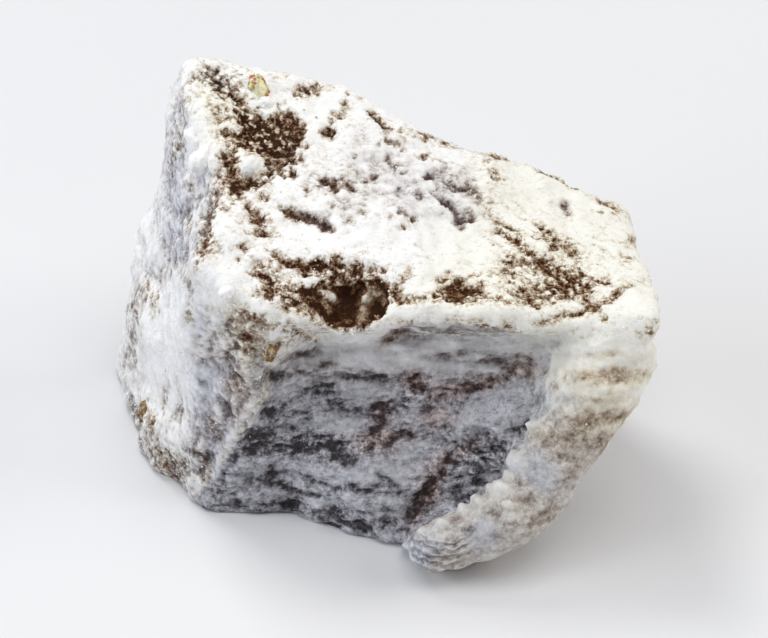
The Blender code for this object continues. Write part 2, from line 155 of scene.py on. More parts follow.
BARE_AT_RIGHT = [
    (447, 134, 3.5, 4.5, 0, 0.45), (452, 126, 2.6, 2, 0, 0.75), (489, 108, 15, 1.3, -41, 0.95),
    (508, 124, 13, 1.4, -36, 0.95), (512, 106.5, 14, 1.2, -40, 0.95), (499, 121, 11, 1.2, -28, 0.8),
    (523, 129, 12, 1.5, -33, 1.0), (545, 137, 12, 1.2, 28, 1.0), (514, 149.8, 15, 1.4, 14, 1.0),
    (531, 139.5, 9, 1.5, -48, 0.9), (486, 100, 9, 1.2, -20, 0.7), (497, 130, 9, 1.3, -40, 0.7),
    (536, 129, 12, 1.2, -22, 0.7), (505, 138, 10, 1.3, 20, 0.8), (437, 139.5, 3, 1.5, 0, 0.45),
    (478, 102, 5, 1.5, 5, 0.6), (484, 99, 5, 1.5, -35, 0.55), (491, 106, 3, 1.8, -30, 0.9),
    (497, 112, 6, 1.6, -42, 0.65), (507, 117.5, 3.8, 1.7, -12, 0.9), (513, 121, 5, 2, -25, 0.75),
    (503.4, 98.7, 3, 1.6, -10, 0.6), (506, 103, 2.4, 1.5, -40, 0.65), (513.3, 106.3, 2.6, 1.7, -40, 0.85),
    (518.3, 108.8, 2.8, 2, -45, 0.9), (523, 113, 3, 1.5, -45, 0.75), (510, 110.5, 2, 1.6, 0, 0.6),
    (518, 112, 7, 5, -40, 0.25), (487, 122, 12, 6, 25, 0.36), (494, 137, 10, 4, 10, 0.4),
    (516.8, 87, 3.4, 2.4, -70, 0.95), (519, 91.5, 2.4, 2, -40, 0.7), (521, 115, 2, 1.5, 60, 0.5),
    (541, 92, 9, 1.2, -14, 0.4), (490, 118, 3.2, 2.2, -25, 0.65), (499, 123.7, 6, 1.5, 0, 0.5),
    (508.5, 125.2, 4.2, 1.8, -20, 0.9), (515.5, 129, 3.5, 3, -40, 0.85), (520, 125, 6, 3, -20, 0.55),
    (529.5, 126.5, 4, 1.8, -15, 0.85), (537, 128.5, 6, 1.2, -14, 0.5), (506.5, 133.5, 7, 2.6, 14, 0.95),
    (514.5, 132, 4, 2.6, -30, 0.85), (518, 138, 4, 1.6, 0, 0.85), (523.5, 133.5, 3.5, 2.5, 60, 0.9),
    (529.5, 134, 3, 4, 0, 0.85), (530.5, 138.5, 3.5, 2.4, -30, 0.9), (533.5, 143.5, 3, 2.5, 0, 0.6),
    (507, 140.5, 4, 3, 0, 0.45), (481.4, 138.8, 2.4, 1.9, 0, 0.8), (487, 141, 4, 1.2, 0, 0.5),
    (496.5, 138.2, 2.6, 2.2, -30, 0.75), (500.8, 142.6, 3.2, 1.9, -35, 0.9), (487, 130, 5, 4, -20, 0.35),
    (492, 134, 3, 2.2, 0, 0.5), (503, 152.6, 4.4, 2, 12, 0.88), (512, 149.3, 4, 1.3, 25, 0.6),
    (518, 147.6, 3.2, 1.8, 15, 0.85), (525.5, 147.2, 4, 1.8, 0, 0.7), (530.5, 144, 2.6, 1.6, 50, 0.55),
    (538.8, 149.8, 3.4, 1.7, -8, 0.75), (543, 139.7, 3.6, 1.7, 28, 0.75), (549, 135.5, 4.6, 1.3, 32, 0.8),
    (547.5, 107.6, 4.5, 1.3, 2, 0.6), (553, 106.5, 2, 1.8, -40, 0.8), (551.6, 110.3, 2.2, 1.4, -40, 0.5),
    (551, 116.5, 4.5, 1.3, -20, 0.6), (505, 128, 24, 9, -10, 0.2), (518, 131, 17, 9, -8, 0.3),
]
BARE_IN_HOLLOW = [
    (371, 170, 6.5, 2, 22, 1.0), (384, 175.5, 4.5, 2, 20, 0.6), (353, 180.5, 3, 3, 0, 0.65),
    (366, 180.5, 12, 1.9, 10, 0.6), (383, 189.5, 11, 3.4, 8, 0.75), (397, 183, 7, 2.2, -2, 0.8),
    (413, 183, 8.5, 1.9, -8, 0.85), (434, 186, 7.5, 4.6, -30, 0.8), (452, 191, 8.5, 3.6, -5, 0.75),
    (462, 189, 7.5, 3.6, 15, 0.72), (474, 186, 8, 2.6, 18, 0.45), (487, 180, 5, 3, 60, 0.4),
    (443, 202, 5.5, 3, -60, 0.65), (448, 210, 4.5, 2.0, 0, 0.5), (454, 205, 5.5, 2.0, 50, 0.5),
    (414, 202, 7, 4.4, 85, 0.8), (423, 197, 5.5, 3, 20, 0.65), (412, 212, 4.4, 4, 0, 0.95),
    (410, 218.5, 5.5, 2.7, -10, 1.0), (419, 219, 6, 2.6, 30, 0.95), (425, 213, 6.5, 2.8, -20, 0.9),
    (390, 199, 9, 2.6, -10, 0.7), (401, 201, 4.5, 2.1, -30, 0.65), (373, 205, 4.2, 3, 0, 0.6),
    (351, 203, 4.2, 3, 20, 0.9), (348, 214, 9, 5, 0, 0.7), (354, 219, 13, 5.5, -8, 0.8),
    (366.5, 222, 4.5, 4.6, 0, 1.0), (340, 223, 5, 3.4, 0, 0.7), (385, 220.5, 12, 4.8, 0, 0.85),
    (391, 228.5, 9, 3.1, -10, 0.95), (399, 230, 6.5, 2.1, -20, 0.75), (331, 228, 2.8, 2.5, 0, 0.85),
    (352, 237, 8.5, 2.6, 8, 0.8), (353, 233, 3, 1.6, 80, 0.8), (463, 156, 34, 3.5, 2, 0.35),
    (455, 171, 10, 2.4, 4, 0.5), (480, 172, 12, 3.4, 6, 0.45), (490, 177, 9, 3.4, 20, 0.45),
    (421, 159, 8, 3, 30, 0.55), (497, 209, 7, 2.4, 40, 0.35), (462, 235, 16, 10, 28, 0.3),
    (472, 224, 14, 4.5, 20, 0.35), (486, 222, 5, 6, 60, 0.3), (469, 241, 5, 3, 30, 0.7),
]
BARE_CREASES = [
    (376, 240, 11, 1.4, -22, 1.0), (350, 241, 11, 1.4, -10, 0.85), (371, 247, 17, 1.5, -17, 0.95),
    (409, 247, 17, 1.4, -4, 0.8), (412, 243, 4.5, 1.7, 0, 0.75), (420, 240.5, 8.5, 1.5, -38, 0.95),
    (397, 243.5, 8.5, 1.6, 12, 0.55), (414, 238, 3.2, 2.1, -10, 0.75), (443, 240, 5.5, 3.6, 50, 0.9),
    (437, 250, 8.5, 3.7, 65, 0.97), (432, 260, 6, 3.2, 60, 0.92), (452, 228, 9, 1.8, 55, 0.8),
    (463, 220.5, 10, 2.2, 10, 0.7), (364, 253, 6.5, 3.1, 20, 0.75), (385, 256, 4.5, 3, 0, 0.6),
    (413, 255, 6.5, 2.1, -10, 0.65), (390, 265, 6.5, 3, 0, 0.7), (401, 266, 3.2, 3, 0, 0.85),
    (418, 263, 8.5, 3, 0, 0.55), (340, 252, 22, 7, -8, 0.5), (405, 262, 24, 6, 0, 0.35),
]
# Its faint spots at (311, 68) and (313, 69) paint shade on the sunk facet, the lines at (308, 133) and (320,
# 143.5) paint shade under the white rim, and the broad spots at (283, 219) and (296, 238) paint shade on the
# low facet.
BARE_ON_LEFT = [
    (302, 40, 30, 6, 82, 0.22), (298, 75, 26, 5, 84, 0.3), (302, 110, 11, 7, 85, 0.38),
    (305, 93, 6, 4, 80, 0.4), (313, 69, 8, 3, -65, 0.2), (311, 68, 11, 7, 80, 0.15),
    (318, 110, 9, 7, 70, 0.3), (278, 165, 16, 1.8, 86, 0.25), (288, 212, 13, 2, -72, 0.55),
    (276, 162, 8, 2.5, 90, 0.25), (276, 201, 6, 5, 90, 0.5), (283, 219, 17, 8, -62, 0.38),
    (296, 238, 14, 8, -45, 0.45), (273, 172, 22, 5, 88, 0.2), (319.3, 98, 8, 1.4, 73, 0.55),
    (315, 111.5, 6.5, 1.8, 72, 0.6), (308, 133, 9, 1.8, -65, 0.85), (320, 143.5, 9, 2.2, -14, 0.8),
    (284, 136, 14, 7, 60, 0.45), (288.8, 147, 3, 2, 30, 0.5), (317, 181, 19, 6, 88, 0.3),
    (337, 147.5, 4, 1.8, -10, 0.7), (344, 149.6, 4, 1.6, -10, 0.6), (327.9, 155.6, 2.2, 2, 0, 0.55),
    (340.9, 161, 5, 2.8, -40, 0.8), (344, 165, 4, 2.8, 80, 0.8), (329.5, 171.3, 4, 2, -30, 0.8),
    (339.8, 172.9, 2.2, 1.7, 0, 0.8), (332.8, 165.9, 3, 2.5, 0, 0.45), (331, 180, 4.5, 3.2, 90, 0.65),
    (341, 194, 3.2, 2.1, -20, 0.8), (334, 160, 12, 8, 90, 0.35), (337, 186, 9, 6, 60, 0.35),
    (317, 226, 5, 3.5, -30, 0.8), (308, 224, 5, 2.5, -20, 0.55), (320, 208, 8, 2, -40, 0.45),
    (326, 199, 8, 2, -50, 0.4), (333, 201, 10, 6, 50, 0.4), (350, 186, 6, 6, 0, 0.3),
    (317, 214, 12, 8, -45, 0.45), (302, 232, 8, 5, -30, 0.5), (322, 236, 10, 6, -30, 0.4),
    (367, 157, 7.5, 2.3, -10, 0.55), (347, 151, 9, 3.5, -10, 0.3), (300, 205, 8, 3, 70, 0.3),
    (295, 190, 8, 2, 80, 0.2), (420, 160.5, 7, 2.6, 25, 0.6),
]
# Its broad, faint spots at (518, 213) and (531, 193) paint shade low on the roll.
BARE_ON_TONGUE = [
    (541, 181.5, 22, 4.2, 2, 0.7), (536, 206, 19, 4.0, 3, 0.64), (529, 219, 14, 3.0, 5, 0.36),
    (541, 195, 9, 2.0, 5, 0.45), (538, 169.5, 16, 1.8, 2, 0.45), (518, 213, 22, 14, 20, 0.22),
    (531, 193, 24, 12, 5, 0.2), (519, 196, 8, 2.0, 0, 0.35), (517, 228, 8, 2.4, 0, 0.5),
    (494, 251, 7, 3.4, 20, 0.75), (496, 241, 6, 2.4, 10, 0.4), (457, 263, 3.6, 3.4, 0, 0.7),
    (463, 268, 3.6, 3.2, 0, 0.7), (479, 259, 4, 3, -30, 0.7), (506, 219, 3.4, 6, 10, 0.5),
    (457, 276, 6, 1.5, -25, 0.5), (512.5, 188, 2.2, 1.8, 0, 0.7), (507.5, 200, 2, 1.8, 0, 0.6),
    (452, 284, 14, 1.5, 10, 0.4), (447, 279, 12, 1.4, 35, 0.4), (540, 222, 14, 5, 20, 0.4),
    (515, 216, 10, 2.6, 10, 0.4), (503, 262, 12, 5, 40, 0.4), (535, 171, 10, 1.8, 0, 0.3),
    (520, 238, 12, 4, 60, 0.35), (487, 267, 14, 3, 25, 0.3), (500, 231, 4, 3, 0, 0.3),
]
# Where the gel shows reddish brown through the film in the hollow.
BROWN_IN_HOLLOW = [
    (434, 186, 8, 5, -30, 0.9), (455, 190, 14, 5, 8, 0.9), (474, 186, 9, 3.5, 18, 0.8),
    (446, 205, 10, 6, 0, 0.7), (414, 202, 8, 5, 85, 0.7), (414, 217, 13, 6, 5, 0.9),
    (441, 247, 17, 5, 62, 1.0), (455, 226, 16, 4, 25, 0.7), (421, 159, 8, 3, 30, 0.6),
    (493, 178, 10, 5, 10, 0.5),
]
# Fields on the top with many fine bare scratches that all lean the same way.
SLANTED_FIELDS = [
    (500, 112, 26, 12, -32, 0.9), (515, 130, 24, 13, -10, 0.8), (545, 112, 12, 8, 0, 0.5),
    (455, 85, 22, 12, -35, 0.4),
]
SCRATCH_TURN = np.array([[0.72, 0.69, 0], [-0.69, 0.72, 0], [0, 0, 1]])
# Each list of bare places, with how strongly it shows and how ragged its edges are.
BARE_SPOTS = (
    (BARE_AT_HIGH_CORNER, 0.92, 1.0), (BARE_ON_TOP, 1.0, 1.0), (BARE_AT_PIT, 1.0, 1.0),
    (BARE_AT_RIGHT, 0.68, 0.6), (BARE_IN_HOLLOW, 0.90, 1.0), (BARE_CREASES, 1.0, 0.6),
    (BARE_ON_LEFT, 0.8, 1.0), (BARE_ON_TONGUE, 0.72, 1.0),
)

# Where the sugar stays thick: lumps inside the bare places, and the edge of the lip over the hollow. The last
# number is how far the coat is full.
SUGARED_SPOTS = [
    (346, 192, 7, 1.8, 50, 0.3), (338, 204.5, 9, 1.8, 52, 0.3), (329.5, 218, 9, 2.1, 57, 0.55),
    (323, 234, 10, 2.1, 72, 0.5), (342.5, 64, 5.6, 5, 0, 1.0), (314, 46, 8, 4.5, 80, 0.85),
    (315, 60, 8, 5, 65, 0.85), (351, 31, 5, 5, 0, 1.0), (331.5, 42, 4.5, 2.4, -20, 0.5),
    (370, 128.7, 6, 1.6, -5, 0.8), (322, 131, 11, 5, -25, 0.8), (322, 142, 10, 5, -20, 0.7),
    (346, 142, 13, 2.6, -14, 0.7), (372, 151, 10, 3.5, -25, 0.8), (394, 159, 14, 3.6, -4, 0.95),
    (412, 157, 9, 3.4, 28, 0.9), (508, 157, 15, 6, 8, 0.7), (426, 146, 8, 3, 25, 0.8),
    (446, 145.5, 14, 2.6, 0, 0.9), (472, 146.5, 14, 3, -4, 0.9), (493, 152.5, 9, 3.2, -22, 0.85),
    (314, 45, 22, 3, 84, 0.6), (292, 165, 20, 9, 88, 0.5),
]

# The hollow front face, whose sugar is a thin damp film that also paints shade: the corners of its outline in
# the photograph.
HOLLOW_OUTLINE = [
    (425, 152), (445, 151), (465, 153), (484, 156), (500, 159), (516, 163), (520, 173), (520, 187),
    (517, 199), (511, 207), (506, 215), (498, 222), (494, 227), (494, 234), (492, 241), (480, 247),
    (470, 252), (461, 259), (454, 264), (444, 271), (437, 276), (430, 283), (400, 285), (340, 280),
    (312, 255), (315, 246), (330, 226), (343, 207), (352, 193), (353, 180), (362, 168), (375, 162),
    (392, 163), (408, 162), (418, 155),
]
# The cut corner left of the hollow, and the roll with its tongue at the right, are outlined in the same way.
CORNER_OUTLINE = [
    (325, 146), (345, 150), (358, 160), (362, 168), (352, 182), (347, 198), (330, 222), (318, 234),
    (311, 215), (317, 190), (322, 170),
]
TONGUE_OUTLINE = [
    (509, 166), (535, 160), (575, 160), (575, 200), (560, 240), (535, 270), (495, 285), (460, 297),
    (425, 295), (418, 284), (424, 272), (433, 265), (441, 259), (450, 252), (461, 246), (470, 241),
    (478, 237), (483, 232), (483, 222), (487, 217), (494, 209), (500, 202), (505, 195), (505, 180),
]
# The middle of the tongue from the roll to the tip, and its half width there, in millimetres from the middle
# of the block's underside.
TONGUE_LINE = [
    ((17.2, -5.7, 17.0), 3.6), ((16.2, -7.1, 14.2), 3.4), ((14.4, -9.0, 11.2), 3.0),
    ((12.5, -10.9, 8.1), 2.4), ((10.0, -12.2, 5.4), 2.55), ((6.8, -12.9, 3.7), 2.35),
    ((4.4, -13.3, 2.9), 2.0), ((2.9, -13.6, 2.5), 1.2),
]
TONGUE_MARGIN = 0.35
# The upper part of the left face is sunk and lies in the shade, which is painted on its sugar as a
# bluish grey.
FACET_OUTLINE = [
    (311, 52), (317, 60), (321, 70), (322, 82), (321, 92), (316, 104), (309, 118), (299, 118), (294, 100),
    (296, 78), (303, 60),
]
# Where bluish shade is painted on the sugar.
PAINTED_SHADE_ON_LEFT = [
    (317, 172, 34, 9, 88, 0.9), (346, 181, 14, 6, 80, 0.8), (326, 216, 26, 11, 60, 0.7),
    (300, 60, 60, 9, 85, 0.3),
]
PAINTED_SHADE_ON_TONGUE = [
    (503, 235, 14, 9, -50, 0.9), (471, 270, 10, 8, 30, 0.9), (515, 197, 10, 6, 0, 0.5),
    (440, 279, 10, 6, 20, 0.7),
]
PAINTED_SHADE_ON_TOP = [
    (434, 78, 24, 14, -25, 0.8), (408, 62, 12, 8, 0, 0.5), (398, 88, 10, 6, 20, 0.4),
    (456, 90, 14, 9, -42, 0.95), (322, 15, 12, 8, -20, 0.5), (517, 88, 6, 5, -60, 0.7),
    (378, 96, 12, 5, -15, 0.5), (462, 76, 16, 8, -45, 0.5), (400, 76, 42, 24, 0, 0.4),
]
# Where the sugar looks cream rather than white.
CREAM_OUTLINE = [
    (350, 146), (430, 138), (470, 60), (560, 40), (600, 170), (560, 260), (440, 300), (500, 200), (490, 158),
]
CREAM_SPOTS = [
    (322, 26, 22, 12, -60, 0.9), (345, 50, 25, 18, 0, 0.8), (336, 160, 24, 10, -70, 0.9),
    (300, 232, 16, 8, -40, 0.7),
]
# The dent of the pit in the edge of the top: its middle, half length, half width and turn.
PIT_DENT = (401, 141, 19, 13, -8)
PIT_DEPTH = 0.25 * MM
# The outlines of the bare patch near the high corner and of the bare pit, and the torn strands in the pit.
PATCH_OUTLINE = [
    (323, 45), (328, 44.5), (334, 46), (336.5, 43), (335, 39), (332, 35), (335, 30.5), (339, 31), (343, 33.5),
    (346, 36.5), (352, 37.5), (357, 36), (361, 33), (366, 35), (370, 40), (372, 47), (370, 53), (368, 58),
    (366, 64), (363, 70), (359, 70.5), (355.5, 68), (353.5, 65), (352.5, 70), (349.5, 74), (347.5, 71),
    (349.5, 63), (346, 59), (341, 57.5), (336, 55), (330, 52), (326, 49),
]
PIT_OUTLINE = [
    (368.5, 133.5), (374, 132), (379, 130), (385, 130), (390, 131), (395, 131), (400, 128.5), (405, 126.8),
    (411, 126.8), (416, 128.5), (419.5, 133), (420.3, 138), (418.5, 143.5), (413, 148.5), (408, 152.3),
    (403, 155), (395, 156), (388, 155), (383, 151), (378, 145.5), (373, 140),
]
STRANDS_IN_PIT = [
    (408.8, 133.5, 6.5, 1.9, -52, 0.62), (405.5, 138.5, 3.6, 2.6, 75, 0.88), (403.3, 147, 6.5, 2.7, 80, 0.52),
    (395, 150, 2.8, 1.6, 5, 0.36), (385.3, 143.8, 3.5, 1.7, -60, 0.40), (399, 134, 4, 1.4, 50, 0.28),
    (375.5, 138, 3, 1.4, -50, 0.38), (385.5, 137.3, 5.2, 3.0, -32, 0.95), (414.5, 139, 1.6, 4.5, 10, 0.28),
]
# Light streaks of sugar in the hollow, knobs on the tongue's edge, and the rings of wrinkles at its tip.
PALE_IN_HOLLOW = [
    (404, 173, 17, 5, 0, 0.8), (405, 189.5, 16, 5.5, 0, 0.95), (388, 209, 19, 6, -5, 1.0),
    (359, 233, 25, 5.5, -4, 0.95), (407, 235, 24, 7, -6, 0.9), (363, 188, 10, 3.5, 10, 0.9),
    (472, 201, 16, 7.5, 20, 1.0), (447, 177, 14, 4.5, 0, 0.8), (409, 252, 20, 6, -6, 0.75),
    (365, 249, 22, 4, -6, 0.6), (432, 224, 10, 8, 0, 0.7), (378, 198, 8, 3, 0, 0.6),
    (425, 177, 10, 5, 0, 0.6), (446, 202, 4, 3, 60, 0.6), (488, 195, 10, 12, 70, 0.8),
    (504, 178, 5, 12, 0, 0.6), (430, 232, 12, 5, -30, 0.5), (470, 165, 18, 2.5, 0, 0.5),
    (448, 164, 10, 2.5, 0, 0.5),
]
KNOBS = [
    (502, 210, 4, 3, 20, 1.0), (490, 220, 5, 4, 30, 1.0), (490, 229, 4.5, 5, 0, 1.0),
    (482.8, 245, 3.6, 2.6, 0, 1.0), (476.5, 245.8, 3, 2.6, 0, 0.9), (486, 254.3, 3.2, 2.6, 0, 0.9),
    (469, 253, 3.2, 2.6, 0, 0.8), (460.5, 257, 3.2, 2.3, 30, 0.8), (449, 265.6, 3.4, 2.3, 0, 0.8),
    (438.5, 270.5, 3.2, 2.2, 40, 0.7), (486, 238, 2.8, 2.2, 0, 0.7), (431, 277, 2.6, 2.2, 0, 0.7),
]
KNOB_HEIGHT = 0.55 * MM
RING_MIDDLE = (450, 255)
RING_PITCH = 3.7
# Patches where the sugar lies as single grains on bare gel.
GRAINY_PATCHES = [
    (346, 45, 26, 16, -25, 1.0), (325, 18, 12, 9, 0, 0.9), (372, 23.5, 12, 4, 17, 0.8),
    (516, 128, 30, 13, -12, 0.6), (390, 122, 20, 7, 0, 0.8), (278, 205, 7, 5, 0, 0.5),
    (355, 130, 14, 9, -70, 0.6), (335, 160, 16, 10, -80, 0.5), (442, 242, 16, 8, 60, 0.4),
    (470, 228, 16, 9, 10, 0.5),
]
# Parts whose sugar looks speckled, although it is thin or lies in the shade.
SPECKLED_SPOTS = [
    (302, 70, 58, 14, 84, 0.35), (300, 228, 20, 9, -35, 0.5), (322, 18, 14, 9, -30, 1.0),
    (470, 229, 18, 9, 25, 0.8), (372, 220, 38, 10, 2, 0.7), (432, 191, 14, 6, -10, 0.5),
]
# The bare places on the hidden sides: how many, and from what to what each is large, bare and stretched.
HIDDEN_SPOTS = 34
HIDDEN_SPOT_SEED = 12
HIDDEN_SPOT_SIZES = (0.5, 3.0)
HIDDEN_SPOT_STRENGTHS = (0.35, 0.95)
HIDDEN_SPOT_STRETCHES = (0.5, 1.6)
# The relief of the sugar, and of the gel where it is bare.
COAT_THICKNESS = 0.30 * MM
BILLOWS = ((0.15 * MM, 2.4 * MM, 3), (0.065 * MM, 1.1 * MM, 4), (0.035 * MM, 0.55 * MM, 5))
CREASE_HEIGHT = 0.20 * MM
FINE_CREASE_HEIGHT = 0.10 * MM
WRINKLE_HEIGHT = 0.09 * MM
STRAND_HEIGHT = 0.30 * MM
SUNK_FIRST = 0.24 * MM


def smoothstep(start, end, values):
    """Goes softly from 0 at start to 1 at end."""
    share = np.clip((values - start) / (end - start), 0, 1)
    return share * share * (3 - 2 * share)


def noise_over(points, size, seed, octaves=2, stretch=(1, 1, 1)):
    """Soft noise between about -1 and 1 at each point, with features of that size in the points' own unit."""
    places = points / (size * np.array(stretch)) + seed * 17.3
    return np.array([noise.fractal(place, 0.9, 2.0, octaves) for place in places.tolist()])


def deselect_all():
    for thing in bpy.context.view_layer.objects:
        thing.select_set(False)


def select_only(piece):
    deselect_all()
    piece.select_set(True)
    bpy.context.view_layer.objects.active = piece


def apply_modifier(piece, kind, **settings):
    select_only(piece)
    modifier = piece.modifiers.new(kind.lower(), kind)
    for name, value in settings.items():
        setattr(modifier, name, value)
    bpy.ops.object.modifier_apply(modifier=modifier.name)


def points_of(piece):
    points = np.empty(len(piece.data.vertices) * 3)
    piece.data.vertices.foreach_get("co", points)
    return points.reshape(-1, 3)


def normals_of(piece):
    normals = np.empty(len(piece.data.vertices) * 3)
    piece.data.vertex_normals.foreach_get("vector", normals)
    return normals.reshape(-1, 3)


def move_points(piece, points):
    piece.data.vertices.foreach_set("co", points.ravel())
    piece.data.update()


def keep_values(piece, name, values):
    """Stores one number for each point, for the material to read."""
    layer = piece.data.attributes.new(name, "FLOAT", "POINT")
    layer.data.foreach_set("value", values.astype(np.float32))


def in_photo(points):
    """The pixel of the photograph, across and down, at which each point shows."""
    from_aim = points - np.array(CAMERA_AIM)
    depth = CAMERA_DISTANCE - from_aim @ np.array(TO_CAMERA)
    scale = CAMERA_DISTANCE / depth / PHOTO_PIXEL
    return PHOTO_CENTRE[0] + from_aim[:, 0] * scale, PHOTO_CENTRE[1] - from_aim @ np.array(CAMERA_UP) * scale


def seen_by_camera(piece, points, normals):
    """1 where a point faces the camera with nothing in between, else 0."""
    tree = BVHTree.FromObject(piece, bpy.context.evaluated_depsgraph_get())
    camera = CAMERA_AIM + TO_CAMERA * CAMERA_DISTANCE
    seen = np.zeros(len(points))
    for index in np.flatnonzero(normals @ np.array(TO_CAMERA) > GRAZING):
        start = Vector(points[index] + normals[index] * OFF_SKIN)
        if tree.ray_cast(start, camera - start)[0] is None:
            seen[index] = 1
    return seen


def widened(piece, values, steps):
    """Spreads each value to the neighbouring points that have less, in that many steps."""
    ends = np.empty(2 * len(piece.data.edges), np.int32)
    piece.data.edges.foreach_get("vertices", ends)
    ends = ends.reshape(-1, 2)
    for _ in range(steps):
        wider = values.copy()
        np.maximum.at(wider, ends[:, 0], values[ends[:, 1]])
        np.maximum.at(wider, ends[:, 1], values[ends[:, 0]])
        values = wider
    return values


def from_line(points, line):
    """How far each point is off the skin of a round bar along the line, in millimetres."""
    nearest = np.full(len(points), 1e9)
    for (start, start_width), (end, end_width) in zip(line, line[1:]):
        start = np.array(start) * MM
        run = np.array(end) * MM - start
        share = np.clip((points - start) @ run / (run @ run), 0, 1)
        width = start_width + (end_width - start_width) * share
        away = np.linalg.norm(points - start - share[:, None] * run, axis=1) / MM
        nearest = np.minimum(nearest, away - width)
    return nearest


def hidden_cover(points, hidden, wander):
    """Bare places of the same kind on the sides that the photograph doesn't show."""
    draw = np.random.default_rng(HIDDEN_SPOT_SEED)
    places = points[draw.choice(np.flatnonzero(hidden), HIDDEN_SPOTS, replace=False)]
    cover = np.zeros(len(points))
    for place in places:
        size = draw.uniform(*HIDDEN_SPOT_SIZES) * MM
        strength = draw.uniform(*HIDDEN_SPOT_STRENGTHS)
        stretch = draw.uniform(*HIDDEN_SPOT_STRETCHES, 3)
        reach = np.linalg.norm((points - place) / stretch, axis=1) / size + 1.6 * wander
        cover = 1 - (1 - cover) * (1 - strength * smoothstep(1.5, 0.6, reach))
    return cover


block = bpy.data.objects.new("sugared_gel", frame["nodes"]["turkish_delight"].data.copy())
bpy.context.scene.collection.objects.link(block)
select_only(block)
bpy.ops.object.mode_set(mode="EDIT")
bpy.ops.mesh.select_all(action="SELECT")
bpy.ops.mesh.remove_doubles(threshold=DOUBLES_REACH)
bpy.ops.object.mode_set(mode="OBJECT")
apply_modifier(block, "REMESH", mode="VOXEL", voxel_size=SKIN_STEP)
apply_modifier(block, "SMOOTH", factor=0.5, iterations=SKIN_SOFTEN_STEPS)

# What each point of the skin is part of, and which way it faces.
skin = points_of(block)
skin_normals = normals_of(block)
across, down = in_photo(skin)
seen = widened(block, seen_by_camera(block, skin, skin_normals), SEEN_MARGIN_STEPS)
fine_wander = noise_over(skin, 0.55 * MM, seed=1, octaves=3)
broad_wander = noise_over(skin, 1.6 * MM, seed=2)
wander = 0.42 * fine_wander + 0.25 * broad_wander

up = smoothstep(0.25, 0.6, skin_normals[:, 2])
below = smoothstep(0.3, 0.7, -skin_normals[:, 2])
front = smoothstep(0.3, 0.75, -skin_normals[:, 1]) * (1 - up)
behind = smoothstep(0.3, 0.75, skin_normals[:, 1]) * (1 - up)
left = smoothstep(0.35, 0.75, -skin_normals[:, 0]) * (1 - up)
right = smoothstep(0.35, 0.75, skin_normals[:, 0]) * (1 - up)
sides = [
    (1.5 * up, COAT_ON_TOP), (front, COAT_IN_FRONT), (left, COAT_ON_LEFT), (right, COAT_ON_RIGHT),
    (behind, COAT_BEHIND), (below, COAT_BELOW), (np.full(len(skin), 0.05), COAT_ELSEWHERE),
]
coat = sum(share * level for share, level in sides) / sum(share for share, level in sides)
creases = 1 - 2 * np.abs(noise_over(skin, 1.3 * MM, seed=6, octaves=3, stretch=(2.6, 1.0, 0.55)))
fine_creases = 1 - 2 * np.abs(noise_over(skin, 0.6 * MM, seed=27, stretch=(2.4, 1.0, 0.75)))


def reach_of(spot):
    """How far each point is from the middle of a spot, where 1 is the spot's own edge."""
    middle, level, half_length, half_width, turn = spot
    turned = math.radians(turn)
    along = (across - middle) * math.cos(turned) - (down - level) * math.sin(turned)
    beside = (across - middle) * math.sin(turned) + (down - level) * math.cos(turned)
    return np.hypot(along / half_length, beside / half_width)


def cover_of(spots, raggedness=1.0):
    """How far the spots cover each seen point, from 0 to 1, with ragged edges and a faint halo."""
    cover = np.zeros(len(across))
    for *spot, strength in spots:
        strength *= 0.82 + 0.18 * smoothstep(1.5, 3.0, spot[3])
        reach = reach_of(spot) * 1.12 + raggedness * wander
        share = 0.76 * smoothstep(1.5, 0.45, reach) + 0.24 * smoothstep(2.8, 0.9, reach)
        cover = 1 - (1 - cover) * (1 - strength * share)
    return cover * seen


def region(outline, softness, raggedness=3.0):
    """1 at the seen points inside the outline and 0 at the others, going over within that many pixels."""
    x = across + raggedness * fine_wander
    y = down + raggedness * fine_wander
    corners = np.array(outline, float)
    distance = np.full(len(x), 1e9)
    inside = np.zeros(len(x), bool)
    for (x0, y0), (x1, y1) in zip(corners, np.roll(corners, -1, axis=0)):
        share = ((x - x0) * (x1 - x0) + (y - y0) * (y1 - y0)) / ((x1 - x0) ** 2 + (y1 - y0) ** 2)
        share = np.clip(share, 0, 1)
        distance = np.minimum(distance, np.hypot(x - x0 - share * (x1 - x0), y - y0 - share * (y1 - y0)))
        inside ^= ((y0 > y) != (y1 > y)) & (x < (x1 - x0) * (y - y0) / (y1 - y0 + 1e-12) + x0)
    return smoothstep(-softness, softness, np.where(inside, distance, -distance)) * seen


low_front = front * (1 - seen) * smoothstep(14 * MM, 9 * MM, skin[:, 2])
hollow = np.maximum(region(HOLLOW_OUTLINE, 1.6, 1.6), low_front)
corner = region(CORNER_OUTLINE, 3.0)
on_tongue = smoothstep(TONGUE_MARGIN + 0.15, TONGUE_MARGIN - 0.15, from_line(skin, TONGUE_LINE))
tongue = region(TONGUE_OUTLINE, 1.0, 1.0) * np.maximum(on_tongue, smoothstep(512, 520, across))
tongue *= 1 - smoothstep(214, 196, down) * (1 - smoothstep(502, 517, across + 2 * fine_wander))
hollow *= 1 - tongue
deep_hollow = hollow * (region(HOLLOW_OUTLINE, 8.0, 0.0) ** 2 + 1 - seen)
# The hollow's thin coat, and the tongue's thinning from the roll to the tip, also paint shade.
hollow_coat_and_shade = COAT_AND_SHADE_IN_HOLLOW + MORE_UNDER_LIP * smoothstep(190, 165, down)
tongue_coat_and_shade = COAT_AND_SHADE_ON_TONGUE + MORE_ON_ROLL_AND_LESS_SHADE * smoothstep(222, 182, down)
facet = region(FACET_OUTLINE, 4.0)
for part, level in ((hollow, hollow_coat_and_shade), (corner, COAT_ON_CORNER), (tongue, tongue_coat_and_shade), (facet, COAT_ON_FACET)):
    coat = coat * (1 - part) + level * part

